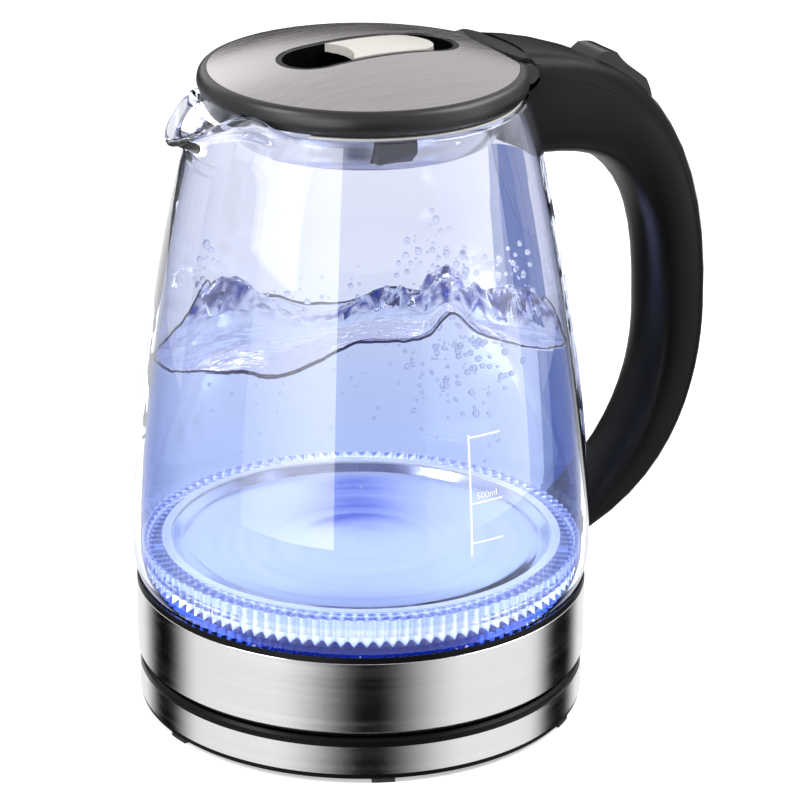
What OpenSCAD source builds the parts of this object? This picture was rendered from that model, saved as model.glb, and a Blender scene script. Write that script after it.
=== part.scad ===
// Cordless electric kettle with a glass jug, on a 360 degree power base.
// Millimetres, +Z up. The origin is on the kettle's axis, in the plane of the feet.
// The handle points along +X and the spout along -X.

/* [Power base] */
// Radius of the steel trim round the power base
base_r = 79.4; // [78:0.1:80]
// Height of the lower edge of the base trim
base_trim_low = 3.4; // [3:0.1:4]
// Height of the upper edge of the base trim
base_trim_high = 13.7; // [13.5:0.1:14]
// Height of the rubber feet below the tray
foot_h = 1.6; // [1.2:0.1:2]
// Number of rubber feet
foot_count = 6; // [3:1:8]
// Direction of the first foot, in degrees from the handle
first_foot = 6.5; // [0:0.5:30]
// Direction of the cord outlet, in degrees from the handle
cord_angle = 115; // [60:5:150]
// Diameter of the hole that the cord runs through
cord_hole_d = 6.6; // [6:0.1:6.8]

/* [Kettle body] */
// Radius of the steel band round the kettle's foot
band_r = 80; // [79.6:0.1:80.4]
// Height of the band's lower edge above the table
band_low = 19.3; // [19:0.1:20]
// Height of the band's upper edge above the table
band_high = 45.4; // [45:0.1:46]
// Thickness of the sheet steel parts
sheet = 0.7; // [0.5:0.1:0.8]
// How far the kettle's underside stays above the base's rim
seat_gap = 0.6; // [0.4:0.1:1]

/* [Glass jug] */
// Largest radius of the glass, just above the foot
glass_r = 81.1; // [81:0.1:82]
// Radius of the glass at the mouth
mouth_r = 57; // [56.5:0.1:57.5]
// Height of the top of the glass
mouth_z = 221.9; // [221.5:0.1:222]
// Wall thickness of the glass
glass_wall = 2.6; // [2:0.1:2.8]
// How far the spout's tip reaches from the axis
spout_reach = 74; // [70:0.5:76]
// Half of the angle that the spout takes from the mouth
spout_half_angle = 36; // [30:1:40]

/* [Light ring] */
// Number of flutes round the light ring
flute_count = 110; // [60:2:140]
// Depth of a flute
flute_depth = 1.5; // [0.8:0.1:2]

/* [Handle] */
// How far the grip's outer side reaches from the axis
grip_reach = 139.4; // [134:0.2:146]
// Height at which the grip reaches furthest
grip_z = 124; // [118:1:130]
// Depth of the grip, from its outer to its inner side
grip_depth = 22.8; // [20:0.2:28]
// Half of the grip's width
grip_half_w = 13.6; // [12:0.2:17]
// Half of the width of the handle's head
head_half_w = 21; // [19:0.2:22]
// Wall thickness of the moulded handle shells
handle_wall = 2.4; // [1.8:0.1:3]

/* [Lid] */
// Radius of the steel plate on the lid
plate_r = 53.3; // [50:0.1:54]
// Height of the plate's edge
plate_edge_z = 232; // [231.8:0.1:232.4]
// How far the plate's middle stands above its edge
plate_rise = 7; // [5:0.1:8]
// Length of the finger slot
slot_l = 67.6; // [62:0.2:68]
// Width of the finger slot
slot_w = 26; // [24:0.2:28]
// Travel of the tab that opens the lid
latch_travel = 6.4; // [5:0.2:6.4]

/* [Hidden] */
$fn = 120;

// Clearances: between fixed pieces, between moving pieces, and of a pin that turns in a hole.
fixed_gap = 0.1;
moving_gap = 0.4;
running_gap = 0.05;

// Colours
black = [0.09, 0.09, 0.1];
charcoal = [0.2, 0.2, 0.21];
steel = [0.78, 0.77, 0.76];
brass = [0.8, 0.62, 0.3];
glass = [0.82, 0.88, 0.98, 0.35];
crystal = [0.4, 0.55, 1, 0.6];
silicone = [0.85, 0.85, 0.82];
ceramic = [0.9, 0.88, 0.82];
aluminium = [0.7, 0.71, 0.73];
board_green = [0.1, 0.35, 0.2];
champagne = [0.82, 0.8, 0.74];
navy = [0.1, 0.1, 0.25];

// Power base: a tray with a channel under it that takes a wound cord, and a cover with a tower
tray_z = foot_h;
tray_wall = 1.7;
tray_top = 12.2;
foot_half_w = 4;
channel_z = 9.6;
channel_in_r = 34;
channel_out_r = 72;
notch_half_w = 4.2;
hook_l = 12;
hook_reach = 11;
cover_low = 13.2;
cover_top = 16.6;
dish_z = 15.2;
collar_r = 30;
collar_top = 18;
post_r = 60;
post_count = 3;
first_post = 30;
screw_r = 1.5;
screw_head_r = 2.8;
screw_head_h = 1.8;

// Connector tower and its contacts
tower_r = 17.8;
tower_top = 27;
flange_r = 27;
flange_z = 9.8;
plug_r = 14;
live_pin_r = 3;
live_socket_r = live_pin_r + moving_gap;
live_socket_t = 1.2;
ring_contact_r = 11;
ring_contact_t = 0.8;
ring_slot_out = ring_contact_r + 1.8;
ring_slot_in = ring_contact_r - 1.4;
socket_floor = 8;
ring_slot_floor = 13;

// Kettle foot levels
kettle_floor = cover_top + seat_gap;
shell_r = band_r - sheet - fixed_gap;
shell_wall = 1.8;
shell_top = 42.5;
floor_low = kettle_floor + 1.8;
floor_top = floor_low + shell_wall;
hub_r = 24;
socket_roof = 28;
socket_roof_t = 5;
socket_wall_r = 22.5;
thermostat_z = socket_roof + socket_roof_t;
thermostat_h = 9.6;
ring_top = 47.4;
plate_z = 56.8;
plate_t = 0.9;
spreader_t = 2.6;
plate_lip_z = 59.4;
plate_lip_r = 68.5;
seal_t = 1.5;
light_ring_in = plate_lip_r + seal_t + 2 * fixed_gap;
light_ring_out = 76.9;
light_ring_top = 59.9;
light_ring_low = 45.3;
flute_low = 50.4;
board_z = 41;
board_t = 1.4;
board_out = 73.4;
board_in = 62;
rib_count = 6;
first_rib = 15;
led_count = 12;

// Lug on the foot's ring that the lower end of the handle is screwed to
lug_x = 85.4;
lug_low = 47.5;
lug_top = 50.5;
lug_half_w = 8;
handle_screw_r = 1.5;

// Lid: the plate's top is part of a sphere
dome_r = (plate_r * plate_r + plate_rise * plate_rise) / (2 * plate_rise);
dome_z = plate_edge_z + plate_rise - dome_r;
rim_low = 223;
rim_r = 56.8;
tongue_low = 219.6;
tongue_half_w = 15.5;
deck_z = 224.2;
deck_t = 1.6;
cup_top_r = 50.2;
cup_low_r = 45.7;
cup_low_z = 209.3;
cup_t = 0.6;
slot_x = 1.8;
tray_inner_w = slot_w - 4;
tab_w = tray_inner_w - 1.8;
tab_x0 = -9.4;
tab_x1 = 26;
tab_t = 2;
slider_z = 219.6;
slider_t = 1.6;
slider_half_w = 14;
catch_x = -14;
catch_w = 12.6;
catch_z = 212.6;
catch_bar_top = 217.6;
catch_nose_top = 219.8;
catch_tip_r = 50.6;
cam_ratio = 0.5;
catch_travel = latch_travel * cam_ratio;
cam_pin_r = 1.5;
cam_pin_y = 9;

// Hinge of the lid: a barrel that is widest in the middle, so its edge is an arc from above
hinge_x = 51.5;
hinge_z = 228;
hinge_pin_r = 1.5;
barrel_mid_r = 7.4;
barrel_end_r = 4.9;
ear_r = 3.4;
ear_t = 3.1;

// Power switch: the lever turns about this axis
switch_x = 104;
switch_z = 204;
switch_pin_r = 1.5;
lever_w = 16;
lever_front_r = 25.6;
lever_back_r = 10.4;
lever_gap = 0.6;
steam_switch_z = 203;

// ---------- curves ----------

// A point of a cubic Bezier curve with the control points p
function bezier(p, t) =
    pow(1 - t, 3) * p[0] + 3 * t * pow(1 - t, 2) * p[1]
    + 3 * t * t * (1 - t) * p[2] + t * t * t * p[3];

// n + 1 points of a cubic Bezier curve
function bezier_points(p, n) = [for (i = [0:n]) bezier(p, i / n)];

function mix(a, b, t) = a * (1 - t) + b * t;
function smooth(t) = let (u = min(1, max(0, t))) u * u * (3 - 2 * u);
function reversed(list) = [for (i = [len(list) - 1:-1:0]) list[i]];

// Faces of a closed band of rings: each ring has n points
function band_faces(rings, n) = [
    for (k = [0:rings - 2])
        for (i = [0:n - 1])
            [k * n + i, k * n + (i + 1) % n, (k + 1) * n + (i + 1) % n, (k + 1) * n + i]
];

// ---------- plain shapes ----------

module ring(outer, inner, z0, z1) {
    translate([0, 0, z0])
        linear_extrude(z1 - z0)
            difference() {
                circle(outer);
                circle(inner);
            }
}

module disc(radius, z0, z1) {
    translate([0, 0, z0])
        cylinder(r = radius, h = z1 - z0);
}

module revolved(outline) {
    rotate_extrude()
        polygon(outline);
}

module block(x0, x1, y0, y1, z0, z1) {
    translate([x0, y0, z0])
        cube([x1 - x0, y1 - y0, z1 - z0]);
}

// Copies round the axis
module around(count, first = 0) {
    for (i = [0:count - 1])
        rotate([0, 0, first + 360 * i / count])
            children();
}

// A cylinder along Y through [x, z], centred on the symmetry plane
module cross_pin(x, z, radius, length) {
    translate([x, 0, z])
        rotate([90, 0, 0])
            cylinder(r = radius, h = length, center = true, $fn = 48);
}

// A slot with round ends along X, centred at x
module stadium(length, width, x, z0, z1) {
    span = (length - width) / 2;
    translate([x, 0, z0])
        linear_extrude(z1 - z0)
            union() {
                translate([-span, 0])
                    circle(width / 2);
                translate([span, 0])
                    circle(width / 2);
                translate([-span, -width / 2])
                    square([2 * span, width]);
            }
}

// A profile drawn in the symmetry plane, extruded to both sides
module side_profile(width) {
    translate([0, width / 2, 0])
        rotate([90, 0, 0])
            linear_extrude(width)
                children();
}

// The ball that the lid's plate is cut from, smaller by inset
module dome(inset) {
    translate([0, 0, dome_z])
        sphere(r = dome_r - inset, $fn = 360);
}

// ---------- power base ----------

module base_tray() {
    color(black)
        difference() {
            union() {
                tray_section();
                cord_hooks();
                screw_posts();
            }
            cord_notch();
            around(post_count, first_post)
                translate([post_r, 0, 0])
                    disc(screw_r + fixed_gap, 0, tray_top + 1);
        }
}

// Floor, channel and outer wall of the tray, with the step that the steel trim sits on
module tray_section() {
    trim_seat_r = base_r - sheet - fixed_gap;
    trim_seat_z = base_trim_low - fixed_gap;
    revolved([
        [0, tray_z], [channel_in_r, tray_z], [channel_in_r, channel_z],
        [channel_out_r, channel_z], [channel_out_r, tray_z], [base_r - 0.4, tray_z],
        [base_r - 0.4, trim_seat_z], [trim_seat_r, trim_seat_z],
        [trim_seat_r, tray_top], [trim_seat_r - 2, tray_top],
        [trim_seat_r - 2, base_trim_low], [channel_out_r + tray_wall, base_trim_low],
        [channel_out_r + tray_wall, channel_z + tray_wall],
        [channel_in_r - tray_wall, channel_z + tray_wall],
        [channel_in_r - tray_wall, base_trim_low], [0, base_trim_low]
    ]);
}

// Hooks in the underside that hold the turns of a wound cord
module cord_hooks() {
    hook_t = 1.6;
    around(4, 20)
        block(channel_in_r - 1, channel_in_r + hook_reach, -hook_l / 2, hook_l / 2,
              tray_z, tray_z + hook_t);
}

// Posts that the cover is screwed to
module screw_posts() {
    around(post_count, first_post)
        translate([post_r, 0, 0])
            disc(screw_head_r + 0.8, channel_z + 1, cover_low - fixed_gap);
}

// The opening in the base's edge that the cord comes out of
module cord_notch() {
    rotate([0, 0, cord_angle])
        block(channel_out_r - 1, base_r + 1, -notch_half_w, notch_half_w,
              tray_z - 1, channel_z + 0.2);
}

module base_cover() {
    color(black)
        difference() {
            revolved([
                [tower_r + 0.6, cover_low], [base_r - 3, cover_low],
                [base_r - 3, tray_top + fixed_gap],
                [base_r - 0.9, tray_top + fixed_gap], [base_r - 0.9, base_trim_high + fixed_gap],
                [base_r - 0.4, base_trim_high + fixed_gap], [base_r - 0.4, cover_top - 1],
                [base_r - 1.4, cover_top], [74.5, cover_top], [73.5, dish_z],
                [collar_r + 1, dish_z], [collar_r, collar_top], [collar_r - 9.8, collar_top],
                [tower_r + 0.6, collar_top - 1.6]
            ]);
            drain_slots();
        }
}

// Slots beside the tower that let spilt water run through the base
module drain_slots() {
    drain_r = 24.5;
    drain_half_w = 1.2;
    drain_l = 8;
    around(3, 90)
        translate([drain_r, 0, cover_low - 1])
            linear_extrude(collar_top)
                union() {
                    for (y = [-drain_l / 2, drain_l / 2])
                        translate([0, y])
                            circle(drain_half_w, $fn = 32);
                    translate([-drain_half_w, -drain_l / 2])
                        square([2 * drain_half_w, drain_l]);
                }
}

module base_trim() {
    color(steel)
        difference() {
            ring(base_r, base_r - sheet, base_trim_low, base_trim_high);
            cord_notch();
        }
}

module base_feet() {
    color(charcoal)
        around(foot_count, first_foot)
            intersection() {
                block(channel_out_r + tray_wall, base_r, -foot_half_w, foot_half_w, 0, tray_z);
                disc(base_r - 0.6, 0, tray_z);
            }
}

// Round tower with a socket in the middle and a ring-shaped slot, on a flange under the cover
module base_connector() {
    color(black)
        difference() {
            revolved([
                [0, base_trim_low + fixed_gap], [plug_r, base_trim_low + fixed_gap],
                [plug_r, flange_z], [flange_r, flange_z], [flange_r, cover_low - fixed_gap],
                [tower_r, cover_low - fixed_gap], [tower_r, tower_top - 1],
                [tower_r - 1, tower_top], [0, tower_top]
            ]);
            disc(live_socket_r + live_socket_t, socket_floor, tower_top + 1);
            ring(ring_slot_out, ring_slot_in, ring_slot_floor, tower_top + 1);
        }
}

module base_contacts() {
    color(brass) {
        ring(live_socket_r + live_socket_t, live_socket_r, socket_floor, tower_top - 3);
        ring(ring_slot_out, ring_slot_out - 0.5, ring_slot_floor, tower_top - 4);
    }
}

// The moulded bush that leads the cord through the notch
module cord_gland() {
    gland_r = 3.95;
    inner_end = channel_out_r - 5.5;
    gland_l = base_r + 2.5 - inner_end;
    color(charcoal)
        rotate([0, 0, cord_angle])
            translate([inner_end, 0, tray_z + gland_r + fixed_gap / 2])
                rotate([0, 90, 0])
                    difference() {
                        cylinder(r = gland_r, h = gland_l, $fn = 48);
                        translate([0, 0, -1])
                            cylinder(d = cord_hole_d, h = gland_l + 2, $fn = 48);
                    }
}

module base_screws() {
    color(steel)
        around(post_count, first_post)
            translate([post_r, 0, 0]) {
                disc(screw_r, channel_z, cover_low - fixed_gap);
                disc(screw_head_r, channel_z - screw_head_h, channel_z);
            }
}

// ---------- contact pin that the kettle turns about ----------

module live_pin() {
    pin_low = 14;
    pin_top = socket_roof + 2.6;
    color(brass)
        revolved([
            [0, pin_low], [live_pin_r - 1.2, pin_low], [live_pin_r, pin_low + 1.6],
            [live_pin_r, pin_top], [0, pin_top]
        ]);
}

// ---------- kettle foot ----------

module bottom_shell() {
    color(black) {
        difference() {
            revolved([
                [hub_r + 0.2, floor_low], [33, floor_low], [34.6, kettle_floor],
                [shell_r - 1.6, kettle_floor], [shell_r - 0.6, kettle_floor + 1],
                [shell_r - 0.6, band_low - 0.05], [shell_r, band_low - 0.05],
                [shell_r, shell_top], [shell_r - shell_wall, shell_top],
                [shell_r - shell_wall, floor_top], [hub_r + 0.2, floor_top]
            ]);
            around(3, 90)
                translate([30, 0, 0])
                    disc(1.4, kettle_floor, kettle_floor + 5);
        }
        board_posts();
        floor_ribs();
    }
}

// Posts that carry the light's circuit board
module board_posts() {
    around(rib_count, first_rib)
        translate([(board_out + board_in) / 2, 0, 0])
            disc(2.2, floor_top - 0.1, board_z);
}

// Ribs that stiffen the floor between the posts and the hub
module floor_ribs() {
    rib_half_t = 0.8;
    rib_h = 5.5;
    around(rib_count, first_rib)
        block(36, shell_r - 1, -rib_half_t, rib_half_t, floor_top - 0.1, floor_top + rib_h);
}

module body_band() {
    color(steel)
        revolved([
            [band_r - sheet, band_low], [band_r - 0.3, band_low], [band_r, band_low + 0.4],
            [band_r, band_high - 0.2], [band_r - 0.2, band_high], [band_r - sheet, band_high]
        ]);
}

// Carries the glass, and has the lug that the handle's foot is screwed to
module support_ring() {
    color(black)
        difference() {
            union() {
                revolved([
                    [74, shell_top + fixed_gap], [shell_r, shell_top + fixed_gap],
                    [shell_r, band_high + 0.05], [band_r, band_high + 0.05],
                    [band_r - 0.2, ring_top], [band_r - 0.8, ring_top], [78.2, 45.1], [74, 45.1]
                ]);
                block(79.2, lug_x - 3.2, -lug_half_w, lug_half_w, band_high + 0.05, lug_top);
                block(79.2, lug_x + 3.6, -lug_half_w, lug_half_w, lug_low, lug_top);
            }
            jug_envelope(fixed_gap);
            translate([lug_x, 0, 40])
                cylinder(r = handle_screw_r + fixed_gap, h = 20, $fn = 32);
        }
}

module kettle_connector() {
    color(charcoal)
        difference() {
            revolved([
                [0, socket_roof], [tower_r + 0.7, socket_roof], [tower_r + 0.7, floor_low],
                [hub_r, floor_low], [hub_r, floor_top + fixed_gap],
                [hub_r + 4, floor_top + fixed_gap], [hub_r + 4, floor_top + 2.1],
                [socket_wall_r, floor_top + 2.1],
                [socket_wall_r, socket_roof + socket_roof_t], [0, socket_roof + socket_roof_t]
            ]);
            disc(live_pin_r + running_gap, socket_roof - 1, socket_roof + 3);
            ring(ring_contact_r + ring_contact_t / 2, ring_contact_r - ring_contact_t / 2,
                 socket_roof - 1, socket_roof + 2);
        }
}

module ring_contact() {
    color(brass)
        ring(ring_contact_r + ring_contact_t / 2, ring_contact_r - ring_contact_t / 2,
             15.5, socket_roof + 2);
}

// Control block on the connector: a round body, the bridge that holds the two bimetal discs,
// and the cross arm with the terminals
module thermostat() {
    color(ceramic) {
        disc(20, thermostat_z, thermostat_z + 6);
        block(-24, 24, -11, 11, thermostat_z, thermostat_z + thermostat_h);
        block(-9, 9, -28, 28, thermostat_z, thermostat_z + 4);
    }
}

module bimetal_discs() {
    disc_z = thermostat_z + thermostat_h;
    color(steel)
        for (x = [-14, 14])
            translate([x, 0, 0])
                disc(8.5, disc_z, disc_z + 0.8);
}

// Deep-drawn floor of the jug, with a raised ring and a turned-down lip
module heating_plate() {
    color(steel)
        revolved([
            [0, plate_z - plate_t], [51, plate_z - plate_t], [53, plate_z - 0.3],
            [59, plate_z - 0.3], [61, plate_z + 0.3], [64, plate_z - plate_t], [66.6, plate_lip_z - plate_t],
            [67.6, plate_lip_z - plate_t], [67.6, 51], [plate_lip_r, 51],
            [plate_lip_r, plate_lip_z - 0.4], [plate_lip_r - 0.4, plate_lip_z],
            [66.2, plate_lip_z], [63.8, plate_z + 0.2], [61, plate_z + 1.3], [59, plate_z + 0.6],
            [53, plate_z + 0.6], [51, plate_z], [0, plate_z]
        ]);
}

module heat_spreader() {
    color(aluminium)
        disc(50, plate_z - plate_t - spreader_t, plate_z - plate_t);
}

// Tubular element, bent to an open ring, with its two terminals
module heating_element() {
    tube_r = 3.3;
    bend_r = 42;
    tube_z = plate_z - plate_t - spreader_t - tube_r;
    open_angle = 50;
    color(steel)
        translate([0, 0, tube_z]) {
            rotate([0, 0, open_angle / 2])
                rotate_extrude(angle = 360 - open_angle)
                    translate([bend_r, 0])
                        circle(tube_r, $fn = 48);
            for (side = [-1, 1])
                rotate([0, 0, side * (open_angle / 2 + 1.5)])
                    translate([bend_r, 0, -11])
                        cylinder(r = 1.6, h = 10, $fn = 32);
        }
}

module plate_seal() {
    color(silicone)
        revolved([
            [plate_lip_r + fixed_gap, 50.5], [plate_lip_r + seal_t, 50.5],
            [plate_lip_r + seal_t, light_ring_top + 0.3], [plate_lip_r - 1.5, light_ring_top + 0.3],
            [plate_lip_r - 1.5, plate_lip_z + 0.1], [plate_lip_r + fixed_gap, plate_lip_z + 0.1]
        ]);
}

// Outline with pointed teeth: the tips are at radius tip
module toothed_circle(tip, depth, count) {
    polygon([
        for (i = [0:2 * count - 1])
            let (radius = (i % 2 == 0) ? tip : tip - depth, angle = 180 * i / count)
                radius * [cos(angle), sin(angle)]
    ]);
}

// Crystal ring that spreads the light: fluted ribs that end in points, over a band of lower points
module light_ring() {
    cone_rise = 1.3;
    band_tip = 74.4;
    color(crystal) {
        difference() {
            translate([0, 0, flute_low])
                linear_extrude(light_ring_top - flute_low)
                    toothed_circle(light_ring_out, flute_depth, flute_count);
            disc(light_ring_in, flute_low - 1, light_ring_top + 1);
            translate([0, 0, flute_low - 0.01])
                cylinder(h = light_ring_out * cone_rise, r1 = light_ring_out, r2 = 0, $fn = 360);
        }
        difference() {
            translate([0, 0, light_ring_low])
                linear_extrude(flute_low + 2 - light_ring_low)
                    toothed_circle(band_tip, flute_depth, flute_count);
            disc(light_ring_in, light_ring_low - 1, flute_low + 3);
        }
        ring(light_ring_out - flute_depth - 0.6, light_ring_in, flute_low + 1, light_ring_top - 0.5);
    }
}

module led_board() {
    color(board_green)
        ring(board_out, board_in, board_z, board_z + board_t);
}

module leds() {
    led_half_w = 2.2;
    led_h = 1.6;
    color(silicone)
        around(led_count)
            block(board_out - 3.8, board_out - 0.4, -led_half_w, led_half_w,
                  board_z + board_t, board_z + board_t + led_h);
}

// ---------- glass jug ----------

spout_zone_z = 198;

glass_flank = [[mouth_r, mouth_z + 0.1], [69.5, 177], [glass_r - 0.9, 112], [glass_r, 60]];
glass_heel = [[glass_r, 60], [glass_r, 54], [glass_r - 0.8, 48.6], [77.3, 45.3]];

// Radius of the glass where the flank is at height z, found by halving
function flank_t(z, low = 0, high = 1, n = 14) =
    n == 0 ? (low + high) / 2
    : let (middle = (low + high) / 2)
        bezier(glass_flank, middle)[1] > z ? flank_t(z, middle, high, n - 1)
        : flank_t(z, low, middle, n - 1);
function flank_r(z) = bezier(glass_flank, flank_t(z))[0];

// Outer side of the glass from the spout zone down to the heel
function glass_side(top_z, n) =
    let (t0 = flank_t(top_z))
        concat([for (i = [0:n]) bezier(glass_flank, mix(t0, 1, i / n))],
               [for (i = [1:6]) bezier(glass_heel, i / 6)]);

// Everything inside the glass's outer side, larger by extra
module jug_envelope(extra) {
    side = glass_side(mouth_z, 12);
    revolved(concat(
        [[0, mouth_z + 0.4]],
        [for (p = side) p + [extra, 0]],
        [[0, side[len(side) - 1][1]]]
    ));
}

// Wall sections from the spout zone up to the lip: round the mouth, and along the spout's middle
mouth_out = [[flank_r(spout_zone_z) - 0.03, spout_zone_z], [60.9, 206], [58.9, 213.5],
             [mouth_r - 0.3, mouth_z - 0.9]];
spout_out = [[flank_r(spout_zone_z) - 0.03, spout_zone_z], [60.4, 208], [64.5, 212.5],
             [spout_reach, mouth_z - 7.4]];
spout_in = [[flank_r(spout_zone_z) - glass_wall + 0.09, spout_zone_z], [58, 210], [61, 215],
            [spout_reach - 1.6, mouth_z - 5.4]];
lip_lift = 5.6;

// How much of the spout's section is in the wall at an angle from the spout's middle
function spout_share(angle) =
    abs(angle) >= spout_half_angle ? 0 : (1 + cos(180 * angle / spout_half_angle)) / 2;

// One point of the wall, u = 0 at the spout zone and 1 at the lip
function wall_point(plain, spout, u, share) =
    let (p = mix(bezier(plain, u), bezier(spout, u), pow(share, 2.1)))
        p + [0, lip_lift * pow(u, 3) * 4 * share * (1 - share)];

// The inside of the mouth's wall: its bead gets thinner where the spout starts
function mouth_in(share) =
    let (thin = smooth(share / 0.12))
        [[flank_r(spout_zone_z) - glass_wall + 0.09, spout_zone_z], [58, 207],
         [mix(55.2, 56, thin), 215.5], [mix(51.8, 54.9, thin), mouth_z - 1.2]];

// Closed section of the wall at an angle: up the outside, over the lip and down the inside.
// It starts inside the wall below, so that the two parts of the jug are one piece.
function wall_section(angle, steps) =
    let (share = spout_share(angle - 180),
         root_z = spout_zone_z - 1.5,
         root = [[flank_r(root_z) - 0.2, root_z]],
         root_in = [[flank_r(root_z) - glass_wall + 0.2, root_z]],
         outside = [for (i = [0:steps]) wall_point(mouth_out, spout_out, i / steps, share)],
         inside = [for (i = [0:steps]) wall_point(mouth_in(share), spout_in, i / steps, share)],
         lip = (outside[steps] + inside[steps]) / 2 + [0, 0.9])
        concat(root, outside, [lip], reversed(inside), root_in);

module spout_zone() {
    steps = 7;
    fine = 26;
    coarse = 58;
    edge = 180 - spout_half_angle - 2;
    angles = concat(
        [for (i = [0:fine - 1]) edge + 2 * (180 - edge) * i / fine],
        [for (i = [0:coarse - 1]) 360 - edge + 2 * edge * i / coarse]
    );
    count = len(angles);
    n = 2 * steps + 5;
    points = [
        for (a = angles)
            for (p = wall_section(a, steps))
                [p[0] * cos(a), p[0] * sin(a), p[1]]
    ];
    faces = [
        for (k = [0:count - 1])
            for (i = [0:n - 1])
                [k * n + i, k * n + (i + 1) % n,
                 ((k + 1) % count) * n + (i + 1) % n, ((k + 1) % count) * n + i]
    ];
    polyhedron(points, faces, convexity = 8);
}

module glass_jug() {
    side = glass_side(spout_zone_z, 18);
    inner = [for (p = reversed(side)) p - [glass_wall, 0]];
    color(glass) {
        revolved(concat(side, inner));
        spout_zone();
    }
}

// ---------- handle ----------

// The handle's outer and inner outlines, from the head down to the foot
outer_upper = [[52, 233.8], [107, 227], [grip_reach + 1, 199], [grip_reach, grip_z]];
outer_lower = [[grip_reach, grip_z], [grip_reach, grip_z - 22], [133, 56], [78, 43]];
grip_inner = grip_reach - grip_depth;
inner_upper = [[52, 195.5], [100, 195.5], [grip_inner - 0.4, 175], [grip_inner, grip_z + 3]];
inner_lower = [[grip_inner, grip_z + 3], [grip_inner + 0.6, grip_z - 7], [119.5, 77], [78, 51]];

function outline(upper, lower, t) = t < 0.5 ? bezier(upper, 2 * t) : bezier(lower, 2 * t - 1);
function outer_at(t) = outline(outer_upper, outer_lower, t);
function inner_at(t) = outline(inner_upper, inner_lower, t);

// Half of the width: wide at the head, narrow along the grip, a little wider at the foot
function half_width(t) =
    t < 0.5 ? mix(head_half_w, grip_half_w, smooth(t / 0.3))
    : mix(grip_half_w, grip_half_w + 1.4, smooth((t - 0.6) / 0.4));

// How square the section is: 2 is an ellipse
function squareness(t) = mix(5.5, 2.7, smooth(t / 0.32));

function power_of(value, exponent) = sign(value) * pow(abs(value), exponent);

// Ring of points at t, smaller by inset
function grip_section(t, inset, n) =
    let (a = outer_at(t), b = inner_at(t), middle = (a + b) / 2,
         half = (a - b) / 2, depth = norm(half), dir = half / depth,
         w = half_width(t) - inset, d = depth - inset, e = 2 / squareness(t))
        [for (i = [0:n - 1])
            let (angle = 360 * (i + 0.5) / n,
                 p = middle + dir * d * power_of(cos(angle), e))
                [p[0], w * power_of(sin(angle), e), p[1]]];

// The whole handle as one smooth solid, smaller by inset
module handle_form(inset) {
    stations = 28;
    n = 24;
    points = [for (k = [0:stations]) each grip_section(k / stations, inset, n)];
    faces = concat(
        [[for (i = [n - 1:-1:0]) i]],
        band_faces(stations + 1, n),
        [[for (i = [0:n - 1]) stations * n + i]]
    );
    polyhedron(points, faces, convexity = 6);
}

// The part of the section that belongs to the cover starts at this share of the half depth
function cover_share(t) = mix(0.58, 0.46, smooth(t / 0.2));

// A strip along the handle's outer side, from the seam outwards
module cover_zone(gap) {
    stations = 28;
    side = head_half_w + 6;
    points = [
        for (k = [0:stations])
            let (t = k / stations, a = outer_at(t), b = inner_at(t), middle = (a + b) / 2,
                 half = (a - b) / 2, seam = middle + half * cover_share(t) + half / norm(half) * gap,
                 far = middle + half * 1.6)
                each [[seam[0], side, seam[1]], [seam[0], -side, seam[1]],
                      [far[0], -side, far[1]], [far[0], side, far[1]]]
    ];
    faces = concat([[3, 2, 1, 0]], band_faces(stations + 1, 4),
                   [[for (i = [0:3]) stations * 4 + i]]);
    polyhedron(points, faces, convexity = 6);
}

// What the handle has to stay clear of: the glass, the lid and the steel band
module handle_stop(gap) {
    jug_envelope(gap);
    disc(rim_r + 0.6 + gap - fixed_gap, mouth_z, 240);
    disc(band_r + gap, 30, band_high + 3);
}

module handle_cavity() {
    difference() {
        handle_form(handle_wall);
        handle_stop(handle_wall);
        block(40, 100, -30, 30, 30, 62);
    }
}

// The barrel that the lid turns about; its radius grows by extra
module hinge_barrel(extra) {
    half_l = head_half_w + extra;
    sagitta = barrel_mid_r - barrel_end_r;
    arc_r = (head_half_w * head_half_w + sagitta * sagitta) / (2 * sagitta);
    steps = 10;
    translate([hinge_x, 0, hinge_z])
        rotate([90, 0, 0])
            revolved(concat(
                [[0, -half_l]],
                [for (i = [0:steps])
                    let (y = mix(-half_l, half_l, i / steps))
                        [barrel_mid_r - arc_r + sqrt(arc_r * arc_r - y * y) + extra, y]],
                [[0, half_l]]
            ));
}

// The nose of the handle that reaches over the mouth to the lid's plate
module hinge_nose() {
    intersection() {
        hinge_barrel(0);
        side_profile(2 * head_half_w)
            polygon([
                [40, rim_low + 0.4], [62, rim_low + 0.4], [62, 232],
                [hinge_x, 232.9], [46, 233.8], [40, 234.3]
            ]);
    }
}

// The opening over the switch lever, seen from the side
module lever_opening(width, gap) {
    side_profile(width)
        union() {
            translate([switch_x, switch_z])
                circle(lever_back_r + gap);
            intersection() {
                translate([switch_x, switch_z])
                    circle(lever_front_r + gap);
                polygon([[switch_x, switch_z], [switch_x + 8, switch_z + 11],
                         [switch_x + 8, 245], [60, 245], [60, switch_z + 9]]);
            }
        }
}

module handle_grip() {
    color(black)
        difference() {
            union() {
                difference() {
                    handle_form(0);
                    handle_cavity();
                }
                intersection() {
                    handle_form(1);
                    handle_bosses();
                }
            }
            handle_stop(fixed_gap);
            cover_zone(-fixed_gap);
            cross_pin(hinge_x, hinge_z, barrel_mid_r + fixed_gap, 60);
            lever_opening(lever_w + 1, lever_gap);
            cross_pin(switch_x, switch_z, switch_pin_r, 24);
            lug_room();
            translate([lug_x, 0, 40])
                cylinder(r = handle_screw_r, h = 14.5, $fn = 32);
        }
}

// Room in the handle's lower end for the lug, open from below
module lug_room() {
    gap = 0.4;
    block(75, lug_x + 3.6 + gap, -lug_half_w - gap, lug_half_w + gap, 40, lug_top + gap);
}

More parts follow.
